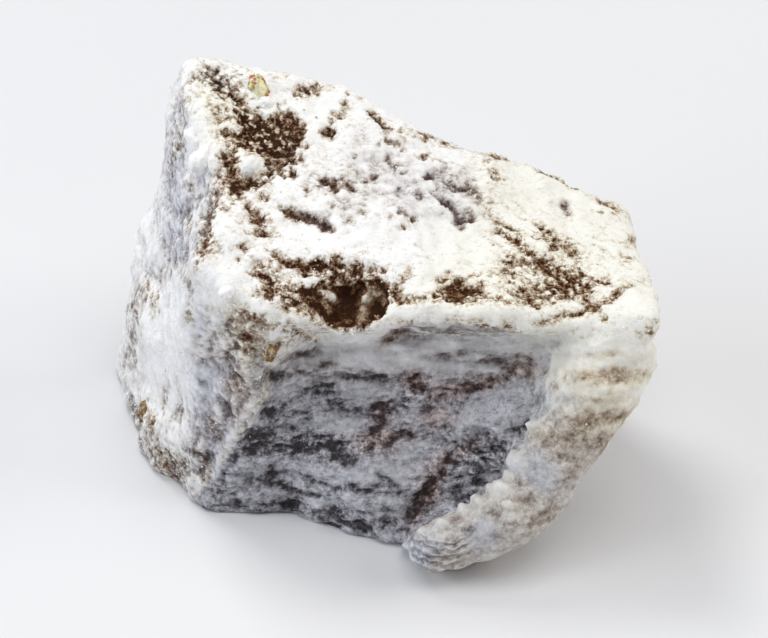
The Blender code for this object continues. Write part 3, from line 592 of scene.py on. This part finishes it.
# How bare each point is: the marks of the photograph, and marks of the same kind behind.
bare = np.zeros(len(skin))
for spots, strength, raggedness in BARE_SPOTS:
    bare = 1 - (1 - bare) * (1 - strength * cover_of(spots, raggedness))
bare = np.maximum(bare, 0.88 * region(PATCH_OUTLINE, 1.8, 5.0))
in_pit = region(PIT_OUTLINE, 1.8)
bare = np.maximum(bare, in_pit)
bare *= 1 - 0.15 * hollow - 0.20 * corner - 0.25 * tongue
bare = 1 - (1 - bare) * (1 - hidden_cover(skin, seen < 0.5, wander) * (1 - seen))

# How far the sugar is a thin film rather than powder: mostly in the hollow, whose film is also painted shade.
# Its bluish greys also paint shade low on the tongue, on the sides, on the sunk facet and the corner, and at
# the spots of painted shade.
in_shade = tongue * smoothstep(195, 235, down)
brown = cover_of(BROWN_IN_HOLLOW)
high_hollow = smoothstep(195, 172, down) * seen
painted_cool_shade = cover_of(PAINTED_SHADE_ON_TOP + PAINTED_SHADE_ON_LEFT + PAINTED_SHADE_ON_TONGUE)
film_and_shade = hollow * (1 - 0.2 * brown - 0.3 * high_hollow) + 0.40 * in_shade + 0.5 * left + 0.12 * corner
film_and_shade += 0.25 * behind + 0.4 * facet + 0.2 * right * (1 - seen) + 0.7 * painted_cool_shade
film_and_shade = np.clip(film_and_shade, 0, 1)

# The coat is broken up by clouds, streaks, cracks and scratches.
clouds = noise_over(skin, 0.9 * MM, seed=21, octaves=3)
streaks = noise_over(skin, 0.75 * MM, seed=22, octaves=3, stretch=(3.2, 1.4, 0.8))
slants = noise_over(skin @ SCRATCH_TURN, 0.5 * MM, seed=26, octaves=3, stretch=(6.0, 1.0, 8.0))
bands = noise_over(skin, 0.5 * MM, seed=23, stretch=(4.5, 2.0, 0.75))
full = smoothstep(0.75, 1.1, coat * (1 - bare))
pale = cover_of(PALE_IN_HOLLOW) * hollow * (1 - bare)
calm_pale = 1 - 0.75 * pale
uneven = (0.16 * fine_wander + 0.12 * broad_wander) * (1 - 0.4 * full) * (1 - 0.72 * tongue)
uneven += 0.15 * fine_creases * hollow * (1 - high_hollow) - 0.12 * hollow * smoothstep(0.3, 1.0, creases)
coat = coat * (1 - bare) + uneven * calm_pale
coat += 0.20 * noise_over(skin, 5.0 * MM, seed=25) * (1 - seen)
speckled = cover_of(SPECKLED_SPOTS)
cloudy = 0.34 * (1 - hollow) * (1 - 0.5 * film_and_shade) * (1 - 0.8 * tongue)
cloudy *= (1 - 0.75 * full) * (1 - 0.5 * speckled)
coat += cloudy * clouds + 0.27 * streaks * hollow * calm_pale + 0.09 * bands * tongue + 0.20 * pale
# Low in the hollow the sugar lies in calm light plates with clear edges.
plates = 0.12 + 0.44 * smoothstep(0.14, 0.50, coat) + 0.5 * (coat - 0.4)
coat += 0.6 * deep_hollow * (1 - high_hollow) * (plates - coat)
slanted_fields = cover_of(SLANTED_FIELDS)
coat -= 0.62 * smoothstep(0.05, 0.5, slants) * slanted_fields

# Thick sugar, the knobs of the tongue and the strands in the pit lie over all that.
sugared = cover_of(SUGARED_SPOTS)
coat = coat * (1 - sugared) + FULL_COAT * sugared
knobs_and_highlight = cover_of(KNOBS, 0.5)
# The knobs get more sugar, which whitens them and partly paints a highlight on them.
coat += 0.28 * knobs_and_highlight
strands = cover_of(STRANDS_IN_PIT, 0.4)
coat = coat * (1 - in_pit * (0.7 + 0.3 * smoothstep(0, 0.3, strands))) + strands
least_coat = 0.15 * (1 - region(PIT_OUTLINE, 3.0)) + 0.08 * slanted_fields
coat = np.maximum(coat, least_coat)
coat = np.clip(coat, 0, THICKEST_COAT)

# Where fine hairlines show in the sugar, and where it looks cream, grainy or calm.
hairy = up * (1 - tongue) * smoothstep(-0.05, 0.35, noise_over(skin, 4.5 * MM, seed=24))
cracks = smoothstep(-0.3, 0.2, noise_over(skin, 3.0 * MM, seed=28))
hairy = np.maximum(hairy, 0.9 * deep_hollow * (1 - high_hollow) * cracks)
cream = 0.85 * region(CREAM_OUTLINE, 14.0) * (1 - 0.6 * in_shade)
cream += cover_of(CREAM_SPOTS)
cream += 0.5 * (1 - seen) * smoothstep(0.0, 0.5, broad_wander)
cream = np.clip(cream, 0, 1)
grainy = cover_of(GRAINY_PATCHES)

# The relief: the skin is first sunk a little, so that the sugar on it stays in the block's size.
pit_reach = reach_of(PIT_DENT) + 0.3 * wander
pit = smoothstep(1.15, 0.35, pit_reach) * seen
ring_reach = np.hypot(across - RING_MIDDLE[0], down - RING_MIDDLE[1])
ringed = tongue * smoothstep(17, 24, ring_reach) * smoothstep(470, 455, across) * seen
wrinkles = 1 - 2 * np.abs(noise_over(skin, 0.8 * MM, seed=7))
thick = smoothstep(0.1, 1.1, coat)
height = COAT_THICKNESS * thick - SUNK_FIRST
for billow_height, billow_size, seed in BILLOWS:
    billows = 1 - 2 * np.abs(noise_over(skin, billow_size, seed=seed))
    height += billow_height * billows * thick * (1 - 0.5 * hollow)
height += CREASE_HEIGHT * (creases - 0.5) * deep_hollow
height += FINE_CREASE_HEIGHT * fine_creases * deep_hollow * (1 - high_hollow)
height += WRINKLE_HEIGHT * wrinkles * (1 - thick)
height += STRAND_HEIGHT * strands - PIT_DEPTH * pit + KNOB_HEIGHT * knobs_and_highlight
# The underside stays flat, and nothing goes below it.
height *= 1 - below * smoothstep(1.0 * MM, 0.2 * MM, skin[:, 2])
shaped = skin + skin_normals * height[:, None]
shaped[:, 2] = np.maximum(shaped[:, 2], 0)
move_points(block, shaped)
calm = np.max([film_and_shade, 0.9 * tongue, pit, 0.7 * corner, hollow * high_hollow], axis=0)
calm = np.clip(calm, 0, 1) * (1 - speckled) * (1 - 0.28 * hollow * (1 - high_hollow) * calm_pale)
kept = {
    "coat": coat, "film_and_shade": film_and_shade, "cream": cream, "warm": brown * hollow, "grainy": grainy, "hairy": hairy,
    "calm": calm, "ringed": ringed, "rings": ring_reach / RING_PITCH + 0.5 * fine_wander,
}
for name, values in kept.items():
    keep_values(block, name, values)
select_only(block)
bpy.ops.object.shade_smooth()


def new_material(name):
    material = bpy.data.materials.new(name)
    material.use_nodes = True
    return material, material.node_tree, material.node_tree.nodes["Principled BSDF"]


def fill(tree, socket, value):
    """Gives an input its value, or its link."""
    if isinstance(value, bpy.types.NodeSocket):
        tree.links.new(value, socket)
    else:
        socket.default_value = value


def add_node(tree, kind, settings=None, **inputs):
    """Adds a node with its settings, and fills each named or numbered input with a value or a link."""
    node = tree.nodes.new(kind)
    for name, value in (settings or {}).items():
        setattr(node, name, value)
    for name, value in inputs.items():
        socket = int(name[1:]) if name[0] == "_" else name.replace("_", " ")
        fill(tree, node.inputs[socket], value)
    return node


def finish_shader(tree, shader, colour, roughness, shine):
    """Gives the shader its colour, roughness and shine."""
    fill(tree, shader.inputs["Base Color"], colour)
    fill(tree, shader.inputs["Roughness"], roughness)
    fill(tree, shader.inputs["Specular IOR Level"], shine)


def math_of(tree, operation, first, second=0.0, third=0.0):
    node = add_node(tree, "ShaderNodeMath", {"operation": operation}, _0=first, _1=second, _2=third)
    return node.outputs[0]


def times(tree, first, second, plus=0.0):
    """The first number times the second, plus the third."""
    return math_of(tree, "MULTIPLY_ADD", first, second, plus)


def own_place(tree):
    """Where a point lies on its own piece."""
    return tree.nodes.new("ShaderNodeTexCoord").outputs["Object"]


def kept_value(tree, name):
    """The number that keep_values stored on the piece."""
    return add_node(tree, "ShaderNodeAttribute", {"attribute_name": name}).outputs["Fac"]


def noise_of(tree, place, scale, detail, roughness=0.5):
    """Noise round 0.5 at each place."""
    inputs = {"Vector": place, "Scale": scale, "Detail": detail, "Roughness": roughness}
    return add_node(tree, "ShaderNodeTexNoise", None, **inputs).outputs[0]


def range_of(tree, value, low, high, start=0.0, end=1.0):
    """Goes from start to end while the value goes from low to high."""
    ends = {"From_Min": low, "From_Max": high, "To_Min": start, "To_Max": end}
    return add_node(tree, "ShaderNodeMapRange", None, Value=value, **ends).outputs[0]


def add_bump(tree, shader, relief, strength, depth):
    bump = add_node(tree, "ShaderNodeBump", None, Strength=strength, Distance=depth, Height=relief)
    tree.links.new(bump.outputs[0], shader.inputs["Normal"])


def ramp_of(tree, value, stops):
    """A colour ramp through (place, (red, green, blue)) stops."""
    node = add_node(tree, "ShaderNodeValToRGB", None, _0=value)
    ramp = node.color_ramp
    while len(ramp.elements) < len(stops):
        ramp.elements.new(0.5)
    for element, (place, colour) in zip(ramp.elements, stops):
        element.position = place
        element.color = (*colour, 1)
    return node.outputs["Color"]


def mix_of(tree, share, first, second, blend="MIX"):
    """A colour between two colours, which may be links."""
    colours = (first, second)
    pair = [colour if isinstance(colour, bpy.types.NodeSocket) else (*colour, 1) for colour in colours]
    settings = {"data_type": "RGBA", "blend_type": blend}
    return add_node(tree, "ShaderNodeMix", settings, Factor=share, _6=pair[0], _7=pair[1]).outputs[2]


def tinted(tree, colour, share, tint):
    """The colour times the tint, as far as the share goes."""
    return mix_of(tree, 1.0, colour, mix_of(tree, share, (1, 1, 1), tint), "MULTIPLY")


def grain_group():
    """Grain of icing sugar, from its place on the piece: a speckle, its relief, and loose clumps."""
    group = bpy.data.node_groups.new("sugar_grain", "ShaderNodeTree")
    group.interface.new_socket("Place", in_out="INPUT", socket_type="NodeSocketVector")
    size = group.interface.new_socket("Size", in_out="INPUT", socket_type="NodeSocketFloat")
    size.default_value = 1.0
    for name in ("Speckle", "Relief", "Clumps"):
        group.interface.new_socket(name, in_out="OUTPUT", socket_type="NodeSocketFloat")
    given = group.nodes.new("NodeGroupInput")
    made = group.nodes.new("NodeGroupOutput")
    grain_scale = times(group, given.outputs["Size"], GRAIN_SCALE)
    grains = noise_of(group, given.outputs["Place"], grain_scale, 2.2, 0.75)
    speckle = times(group, grains, 2.2, -1.1)
    clump_scale = times(group, given.outputs["Size"], CLUMP_SCALE)
    clumps = range_of(group, noise_of(group, given.outputs["Place"], clump_scale, 1.0), 0.50, 0.66)
    for name, output in (("Speckle", speckle), ("Relief", grains), ("Clumps", clumps)):
        group.links.new(output, made.inputs[name])
    return group


GRAIN_SCALE = 2500
CLUMP_SCALE = 2100
HAIR_SCALES = (500.0, 1500.0, 1500.0)
HAIR_TURN = (0.0, 0.0, 0.35)
GEL_DARK = (0.026, 0.0095, 0.003)
GEL_BROWN = (0.115, 0.052, 0.022)
POWDER_BROWN = (0.225, 0.152, 0.102)
POWDER_TAN = (0.46, 0.385, 0.305)
POWDER_PALE = (0.74, 0.695, 0.62)
SUGAR_WHITE = (0.885, 0.887, 0.882)
SUGAR_CREAM = (0.855, 0.850, 0.785)
# The film's colours, whose bluish greys also paint shade on the sugar.
FILM_AND_SHADE_GEL = (0.044, 0.040, 0.042)
FILM_AND_SHADE_MAUVE = (0.150, 0.141, 0.153)
FILM_AND_SHADE_GREY = (0.36, 0.357, 0.386)
FILM_AND_SHADE_PALE = (0.64, 0.645, 0.688)
WARM_TINT = (1.16, 0.97, 0.90)
CREAM_TINT = tuple(cream_part / white_part for cream_part, white_part in zip(SUGAR_CREAM, SUGAR_WHITE))

sugar_grain = grain_group()
sugared_gel, tree, shader = new_material("sugared_gel")
place = own_place(tree)
grain = add_node(tree, "ShaderNodeGroup", {"node_tree": sugar_grain}, Place=place, Size=1.0)
coat_read, film_and_shade_read, calm_read = [kept_value(tree, name) for name in ("coat", "film_and_shade", "calm")]

# The grain speckles the coat most where it is half there, and least where it is calm.
full_coat = times(tree, calm_read, -0.34, 1.14)
part_bare = times(tree, coat_read, math_of(tree, "SUBTRACT", full_coat, coat_read))
speckle_share = times(tree, math_of(tree, "MAXIMUM", part_bare, 0.0), 2.7, 0.28)
speckle_share = times(tree, speckle_share, times(tree, calm_read, -0.42, 1.0))
cover = times(tree, grain.outputs["Speckle"], speckle_share, coat_read)

# Dark hairlines, loose clumps on bare gel, and the rings round the tip of the tongue.
hairs = add_node(tree, "ShaderNodeMapping", None, Vector=place, Rotation=HAIR_TURN, Scale=HAIR_SCALES)
hairs = math_of(tree, "SUBTRACT", noise_of(tree, hairs.outputs[0], 1.0, 2.0), 0.5)
hairs = range_of(tree, math_of(tree, "ABSOLUTE", hairs), 0.020, 0.0)
cover = times(tree, times(tree, hairs, kept_value(tree, "hairy")), -0.26, cover)
clumps = math_of(tree, "SUBTRACT", grain.outputs["Clumps"], 0.26)
cover = times(tree, times(tree, kept_value(tree, "grainy"), clumps), 0.68, cover)
ring_wave = math_of(tree, "SINE", times(tree, kept_value(tree, "rings"), math.tau))
ring_wave = times(tree, ring_wave, kept_value(tree, "ringed"))
# The rings' wrinkles are painted lighter and darker in turn, as light and shade on them.
cover = times(tree, ring_wave, 0.13, cover)

# From bare gel to full sugar, as powder and as a thin film, whose bluish greys also paint shade.
shown_cover = times(tree, cover, 0.8)
powder = ramp_of(tree, shown_cover, [
    (0.05, GEL_DARK), (0.17, GEL_BROWN), (0.32, POWDER_BROWN), (0.49, POWDER_TAN), (0.68, POWDER_PALE),
    (0.86, SUGAR_WHITE)])
film_and_shade_colour = ramp_of(tree, shown_cover, [
    (0.10, FILM_AND_SHADE_GEL), (0.28, FILM_AND_SHADE_MAUVE), (0.48, FILM_AND_SHADE_GREY), (0.70, FILM_AND_SHADE_PALE), (0.92, SUGAR_WHITE)])
colour = mix_of(tree, film_and_shade_read, powder, film_and_shade_colour)
colour = tinted(tree, colour, kept_value(tree, "warm"), WARM_TINT)
colour = tinted(tree, colour, kept_value(tree, "cream"), CREAM_TINT)
finish_shader(tree, shader, colour, range_of(tree, cover, 0.1, 0.6, 0.48, 0.95), 0.06)
relief = times(tree, coat_read, 0.5, grain.outputs["Relief"])
add_bump(tree, shader, times(tree, ring_wave, 1.6, relief), 0.8, 0.12 * MM)
block.data.materials.clear()
block.data.materials.append(sugared_gel)
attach(block, "root")
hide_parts("turkish_delight")

# The lumps
# Small lumps of caked sugar that stuck to the block: a few as big as a pinhead, and crumbs of less than half
# a millimetre. All are pressed a little into the coat.

# Where the lumps sit, in millimetres from the middle of the underside, and the radius of each.
LUMP_PLACES = [
    (-9.75, 4.7, 25.0, 0.95), (-8.6, 10.9, 26.5, 0.7), (-11.3, -5.8, 21.4, 0.8), (11.7, 12.7, 8.0, 1.0),
    (17.7, -1.3, 8.0, 0.9), (-13.6, 8.0, 25.2, 1.0), (-13.4, 6.0, 24.6, 1.05),
]
LUMP_SEED = 3
CRUMBS = 110
CRUMB_SIZES = (0.15 * MM, 0.42 * MM)
CRUMB_SINK = 0.25
LUMP_SINK = 0.55
LUMP_BUMPS = 0.30
LUMP_EDGE = math.radians(35)
CHIPPED = 0.2


def turned_copies(shape, faces, places, normals, sizes, sink, chipped, draw):
    """Copies of a shape at many places, each with its own size, stretch and turn, as points and faces."""
    count = len(places)
    turns = draw.normal(size=(count, 4))
    turns /= np.linalg.norm(turns, axis=1, keepdims=True)
    w, x, y, z = turns.T
    spin = np.array([
        [1 - 2 * (y * y + z * z), 2 * (x * y - z * w), 2 * (x * z + y * w)],
        [2 * (x * y + z * w), 1 - 2 * (x * x + z * z), 2 * (y * z - x * w)],
        [2 * (x * z - y * w), 2 * (y * z + x * w), 1 - 2 * (x * x + y * y)],
    ]).transpose(2, 0, 1)
    stretch = draw.uniform(0.65, 1.0, (count, 1, 3))
    chips = 1 + chipped * draw.uniform(-1.0, 0.75, (count, len(shape), 1))
    points = np.einsum("nij,nkj->nki", spin, shape[None] * stretch * chips) * sizes[:, None, None]
    points += (places + normals * (sizes * (0.5 - sink))[:, None])[:, None, :]
    starts = np.arange(count)[:, None, None] * len(shape)
    return points.reshape(-1, 3), (faces[None] + starts).reshape(-1, 3)


def ball(fineness):
    """The points and faces of a ball of radius 1."""
    deselect_all()
    bpy.ops.mesh.primitive_ico_sphere_add(subdivisions=fineness, radius=1)
    made = bpy.context.object
    points = points_of(made)
    faces = np.array([face.vertices[:] for face in made.data.polygons])
    bpy.data.objects.remove(made)
    return points, faces


def piece_from(name, groups, values):
    """One mesh piece from lists of points and faces, with a number kept for each point."""
    points = np.vstack([group[0] for group in groups])
    starts = np.cumsum([0] + [len(group[0]) for group in groups[:-1]])
    faces = np.vstack([group[1] + start for group, start in zip(groups, starts)])
    points[:, 2] = np.maximum(points[:, 2], 0)
    mesh = bpy.data.meshes.new(name)
    mesh.from_pydata(points.tolist(), [], faces.tolist())
    piece = bpy.data.objects.new(name, mesh)
    bpy.context.scene.collection.objects.link(piece)
    keep_values(piece, "tone", values)
    return piece


def sugar_material(name):
    """Loose sugar with the grain of the coat: white, or stained tan by the gel where its tone is low."""
    material, tree, shader = new_material(name)
    grain = add_node(tree, "ShaderNodeGroup", {"node_tree": sugar_grain}, Place=own_place(tree), Size=1.3)
    shade = times(tree, grain.outputs["Speckle"], 0.35, kept_value(tree, "tone"))
    colour = ramp_of(tree, shade, [
        (0.0, POWDER_BROWN), (0.35, POWDER_TAN), (0.65, SUGAR_CREAM), (0.85, SUGAR_WHITE)])
    finish_shader(tree, shader, colour, range_of(tree, shade, 0.2, 0.8, 0.6, 0.95), 0.25)
    add_bump(tree, shader, grain.outputs["Relief"], 0.6, 0.05 * MM)
    return material


skin = points_of(block)
skin_normals = normals_of(block)
skin_tree = BVHTree.FromObject(block, bpy.context.evaluated_depsgraph_get())
draw = np.random.default_rng(LUMP_SEED)
lump_shape, lump_faces = ball(4)
lumps = []
for x, y, z, radius in LUMP_PLACES:
    spot, normal = skin_tree.find_nearest(Vector((x, y, z)) * MM)[:2]
    bumps = noise_over(lump_shape + 40 * radius, 0.9, seed=11, octaves=3)
    bumpy = lump_shape * (1 + LUMP_BUMPS * bumps)[:, None]
    lumps.append(turned_copies(bumpy, lump_faces, np.array([spot]), np.array([normal]),
                               np.array([radius * MM]), LUMP_SINK, 0, draw))
crumb_shape, crumb_faces = ball(1)
# Crumbs lie on the full dry coat only, clear of the foot and the pit, and most of them are small.
free = (skin[:, 2] > 0.4 * MM) & (coat > 0.85) & (film_and_shade + tongue + front * seen < 0.6) & (pit_reach > 1.5)
chosen = draw.choice(np.flatnonzero(free), CRUMBS, replace=False)
least_size, most_size = CRUMB_SIZES
crumb_sizes = 0.5 * (least_size + (most_size - least_size) * draw.random(CRUMBS) ** 2.5)
lumps.append(turned_copies(crumb_shape, crumb_faces, skin[chosen], skin_normals[chosen], crumb_sizes,
                           CRUMB_SINK, CHIPPED, draw))
lump_count = sum(len(group[0]) for group in lumps)
sugar_lumps = piece_from("sugar_lumps", lumps, np.ones(lump_count))
sugar_lumps.data.materials.append(sugar_material("caked_sugar"))
select_only(sugar_lumps)
bpy.ops.object.shade_smooth_by_angle(angle=LUMP_EDGE)
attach(sugar_lumps, "root")

# The grains
# Loose grains of sugar, a tenth to a third of a millimetre, thickest where the coat is broken. On bare gel
# some have soaked up its colour and gone tan.

GRAIN_SEED = 8
GRAIN_SINK = 0.2
STRAY = 0.08 * MM
CLEAN_TONE = 0.9
STAINED_TONES = (0.0, 0.5)
# How many grains lie on a square millimetre.
GRAINS_ON_BARE = 0.3
GRAINS_ON_BROKEN = 1.2
GRAINS_ON_COAT = 0.5
GRAINS_IN_HOLLOW = 0.02
GRAINS_IN_PATCHES = 1.5

draw = np.random.default_rng(GRAIN_SEED)
bareness = smoothstep(0.5, 0.2, coat)
brokenness = smoothstep(0.95, 0.7, coat) * (1 - bareness)
density = GRAINS_ON_BARE * bareness + GRAINS_ON_BROKEN * brokenness
density += GRAINS_ON_COAT * (1 - bareness - brokenness)
density = density * (1 - hollow) + GRAINS_IN_HOLLOW * hollow
density = density * (1 - grainy) + GRAINS_IN_PATCHES * grainy * np.maximum(bareness, 0.3)
density *= (1 - 0.95 * tongue) * (1 - 0.7 * film_and_shade) * (pit_reach > 1.2)
density *= skin[:, 2] > 0.25 * MM
chosen = np.flatnonzero(draw.random(len(skin)) < density * (SKIN_STEP / MM) ** 2)
grain_count = len(chosen)
grain_sizes = 0.09 + 0.13 * draw.random(grain_count) ** 2 + 0.16 * draw.random(grain_count) * grainy[chosen]
grain_sizes *= 0.5 * MM
beside = draw.normal(size=(grain_count, 3)) * STRAY
grains = turned_copies(crumb_shape, crumb_faces, skin[chosen] + beside, skin_normals[chosen], grain_sizes,
                       GRAIN_SINK, CHIPPED, draw)
stained = draw.random(grain_count) < np.maximum(bareness, grainy)[chosen]
tones = np.where(stained, draw.uniform(*STAINED_TONES, grain_count), CLEAN_TONE)
sugar_grains = piece_from("sugar_grains", [grains], np.repeat(tones, len(crumb_shape)))
sugar_grains.data.materials.append(sugar_material("loose_sugar"))
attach(sugar_grains, "root")

# The pistachios
# Chopped bits of pistachio of about two millimetres, set in the gel, that peep out through the sugar: one at
# the high corner, one under the lip, one low on the left, and others of the kind behind and on the right.

# Each place in millimetres from the middle of the underside, with the radius and how green the flesh is.
NUT_PLACES = {
    "at the high corner": (-9.1, 12.0, 27.2, 1.0, 1.0), "under the lip": (-8.1, -7.3, 16.5, 0.75, 0.0),
    "low on the left": (-18.6, 2.7, 3.2, 0.85, 0.0), "behind": (5.7, 14.7, 12.0, 1.2, 0.8),
    "behind, low": (-8.3, 14.7, 6.0, 1.0, 0.3), "at the right": (18.7, 2.7, 9.0, 1.1, 0.6),
}
NUT_SEED = 7
NUT_SINK = 0.80
NUT_CUTS = 9
NUT_CUT_REACH = (0.55, 0.85)
NUT_SKIN_STEP = 0.11
NUT_STRETCH = (1.2, 0.9, 0.8, 1)
NUT_EDGE = math.radians(40)
NUT_GREEN = (0.55, 0.52, 0.20)
NUT_YELLOW = (0.84, 0.77, 0.46)
NUT_GOLD = (0.255, 0.155, 0.060)
NUT_BROWN = (0.17, 0.100, 0.038)
NUT_OCHRE = (0.38, 0.262, 0.115)
NUT_SKIN = (0.58, 0.16, 0.06)


def nut_bit(name, spot, normal, radius, draw):
    """A chip of nut: a ball cut flat on several sides, then made rough all over."""
    deselect_all()
    bpy.ops.mesh.primitive_ico_sphere_add(subdivisions=3, radius=radius)
    chip = bpy.context.object
    chip.name = name
    bpy.ops.object.mode_set(mode="EDIT")
    for _ in range(NUT_CUTS):
        side = Vector(draw.normal(size=3)).normalized()
        bpy.ops.mesh.select_all(action="SELECT")
        cut_at = side * radius * draw.uniform(*NUT_CUT_REACH)
        bpy.ops.mesh.bisect(plane_co=cut_at, plane_no=side, use_fill=True, clear_outer=True)
    bpy.ops.object.mode_set(mode="OBJECT")
    apply_modifier(chip, "REMESH", mode="VOXEL", voxel_size=radius * NUT_SKIN_STEP)
    points = points_of(chip)
    broken = 0.26 * noise_over(points, 0.7 * radius, seed=radius / MM)
    broken += 0.07 * noise_over(points, 0.22 * radius, seed=31)
    move_points(chip, points * (1 + broken)[:, None])
    turn = normal.to_track_quat("Z", "Y").to_matrix().to_4x4()
    spin = Matrix.Rotation(draw.uniform(0, math.tau), 4, "Z")
    stretch = Matrix.Diagonal(NUT_STRETCH)
    chip.data.transform(Matrix.Translation(spot + normal * radius * (0.5 - NUT_SINK)) @ turn @ spin @ stretch)
    select_only(chip)
    bpy.ops.object.shade_smooth_by_angle(angle=NUT_EDGE)
    return chip


draw = np.random.default_rng(NUT_SEED)
chips = []
for number, (x, y, z, radius, greenness) in enumerate(NUT_PLACES.values()):
    spot, normal = skin_tree.find_nearest(Vector((x, y, z)) * MM)[:2]
    chip = nut_bit(f"nut_bit_{number}", spot, normal, radius * MM, draw)
    keep_values(chip, "tone", np.full(len(chip.data.vertices), greenness))
    chips.append(chip)
deselect_all()
for chip in chips:
    chip.select_set(True)
nut_bits = chips[0]
bpy.context.view_layer.objects.active = nut_bits
bpy.ops.object.join()
nut_bits.name = "nut_bits"
pistachio, tree, shader = new_material("pistachio")
place = own_place(tree)
flesh = noise_of(tree, place, 1500.0, 3.0)
greenness = kept_value(tree, "tone")
green_nut = ramp_of(tree, flesh, [(0.41, NUT_SKIN), (0.47, NUT_GOLD), (0.54, NUT_GREEN), (0.61, NUT_YELLOW)])
gold_nut = ramp_of(tree, flesh, [(0.43, NUT_BROWN), (0.53, NUT_GOLD), (0.62, NUT_OCHRE)])
colour = mix_of(tree, greenness, gold_nut, green_nut)
grain = add_node(tree, "ShaderNodeGroup", {"node_tree": sugar_grain}, Place=place, Size=1.5)
dust = times(tree, grain.outputs["Clumps"], times(tree, greenness, 0.35, 0.45))
finish_shader(tree, shader, mix_of(tree, dust, colour, SUGAR_CREAM), 0.85, 0.15)
add_bump(tree, shader, grain.outputs["Relief"], 0.9, 0.15 * MM)
nut_bits.data.materials.clear()
nut_bits.data.materials.append(pistachio)
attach(nut_bits, "root")

# The floor
# A plain pale board under the block, with a faint unevenness so that it isn't one flat colour.

FLOOR_SIZE = 1.6
BOARD_DARK = (0.74, 0.75, 0.77)
BOARD_LIGHT = (0.78, 0.785, 0.80)
bpy.ops.mesh.primitive_plane_add(size=FLOOR_SIZE)
floor = bpy.context.object
floor.name = "floor"
pale_board, tree, shader = new_material("pale_board")
unevenness = noise_of(tree, own_place(tree), 9.0, 3.0)
board_colour = ramp_of(tree, unevenness, [(0.3, BOARD_DARK), (0.7, BOARD_LIGHT)])
finish_shader(tree, shader, board_colour, 0.7, 0.5)
floor.data.materials.append(pale_board)

# The light
# Two soft boxes high up, one behind the block and a wider one over it, a cool one at the left, a warm one
# at the right, and a faint bluish light from all round.

LIGHT_AIM = Vector((0, 0, 14)) * MM
ROOM_COLOUR = (0.86, 0.90, 1.0, 1)
ROOM_STRENGTH = 0.22


def soft_box(name, place, size, power, colour):
    """A square lamp at that place, size in metres and power in watts, turned to the block."""
    light = bpy.data.lights.new(name, "AREA")
    light.shape = "SQUARE"
    light.size = size
    light.energy = power
    light.color = colour
    box = bpy.data.objects.new(name, light)
    box.location = place
    box.rotation_euler = (LIGHT_AIM - Vector(place)).to_track_quat("-Z", "Y").to_euler()
    bpy.context.scene.collection.objects.link(box)


soft_box("key", (-0.20, 0.30, 0.58), 0.22, 1.7, (1.0, 0.985, 0.96))
soft_box("overhead", (0.10, -0.14, 0.66), 0.45, 1.7, (1.0, 0.985, 0.955))
soft_box("left_side", (-0.55, -0.16, 0.30), 0.4, 1.9, (0.92, 0.95, 1.0))
soft_box("right_side", (0.55, -0.06, 0.34), 0.35, 1.5, (1.0, 0.95, 0.88))

world = bpy.data.worlds.new("studio")
world.use_nodes = True
world.node_tree.nodes["Background"].inputs["Color"].default_value = ROOM_COLOUR
world.node_tree.nodes["Background"].inputs["Strength"].default_value = ROOM_STRENGTH
bpy.context.scene.world = world
bpy.context.scene.view_settings.view_transform = "Standard"

# The camera
# It looks down at the block as steeply as the photograph does, from half a metre.

CAMERA_FIELD = 58 * MM
SENSOR_WIDTH = 36
NEAREST = 0.05
FARTHEST = 5

eye = bpy.data.cameras.new("camera")
eye.sensor_width = SENSOR_WIDTH
eye.lens = SENSOR_WIDTH * CAMERA_DISTANCE / CAMERA_FIELD
eye.clip_start = NEAREST
eye.clip_end = FARTHEST
camera = bpy.data.objects.new("camera", eye)
camera.location = CAMERA_AIM + TO_CAMERA * CAMERA_DISTANCE
camera.rotation_euler = (-TO_CAMERA).to_track_quat("-Z", "Y").to_euler()
bpy.context.scene.collection.objects.link(camera)
bpy.context.scene.camera = camera
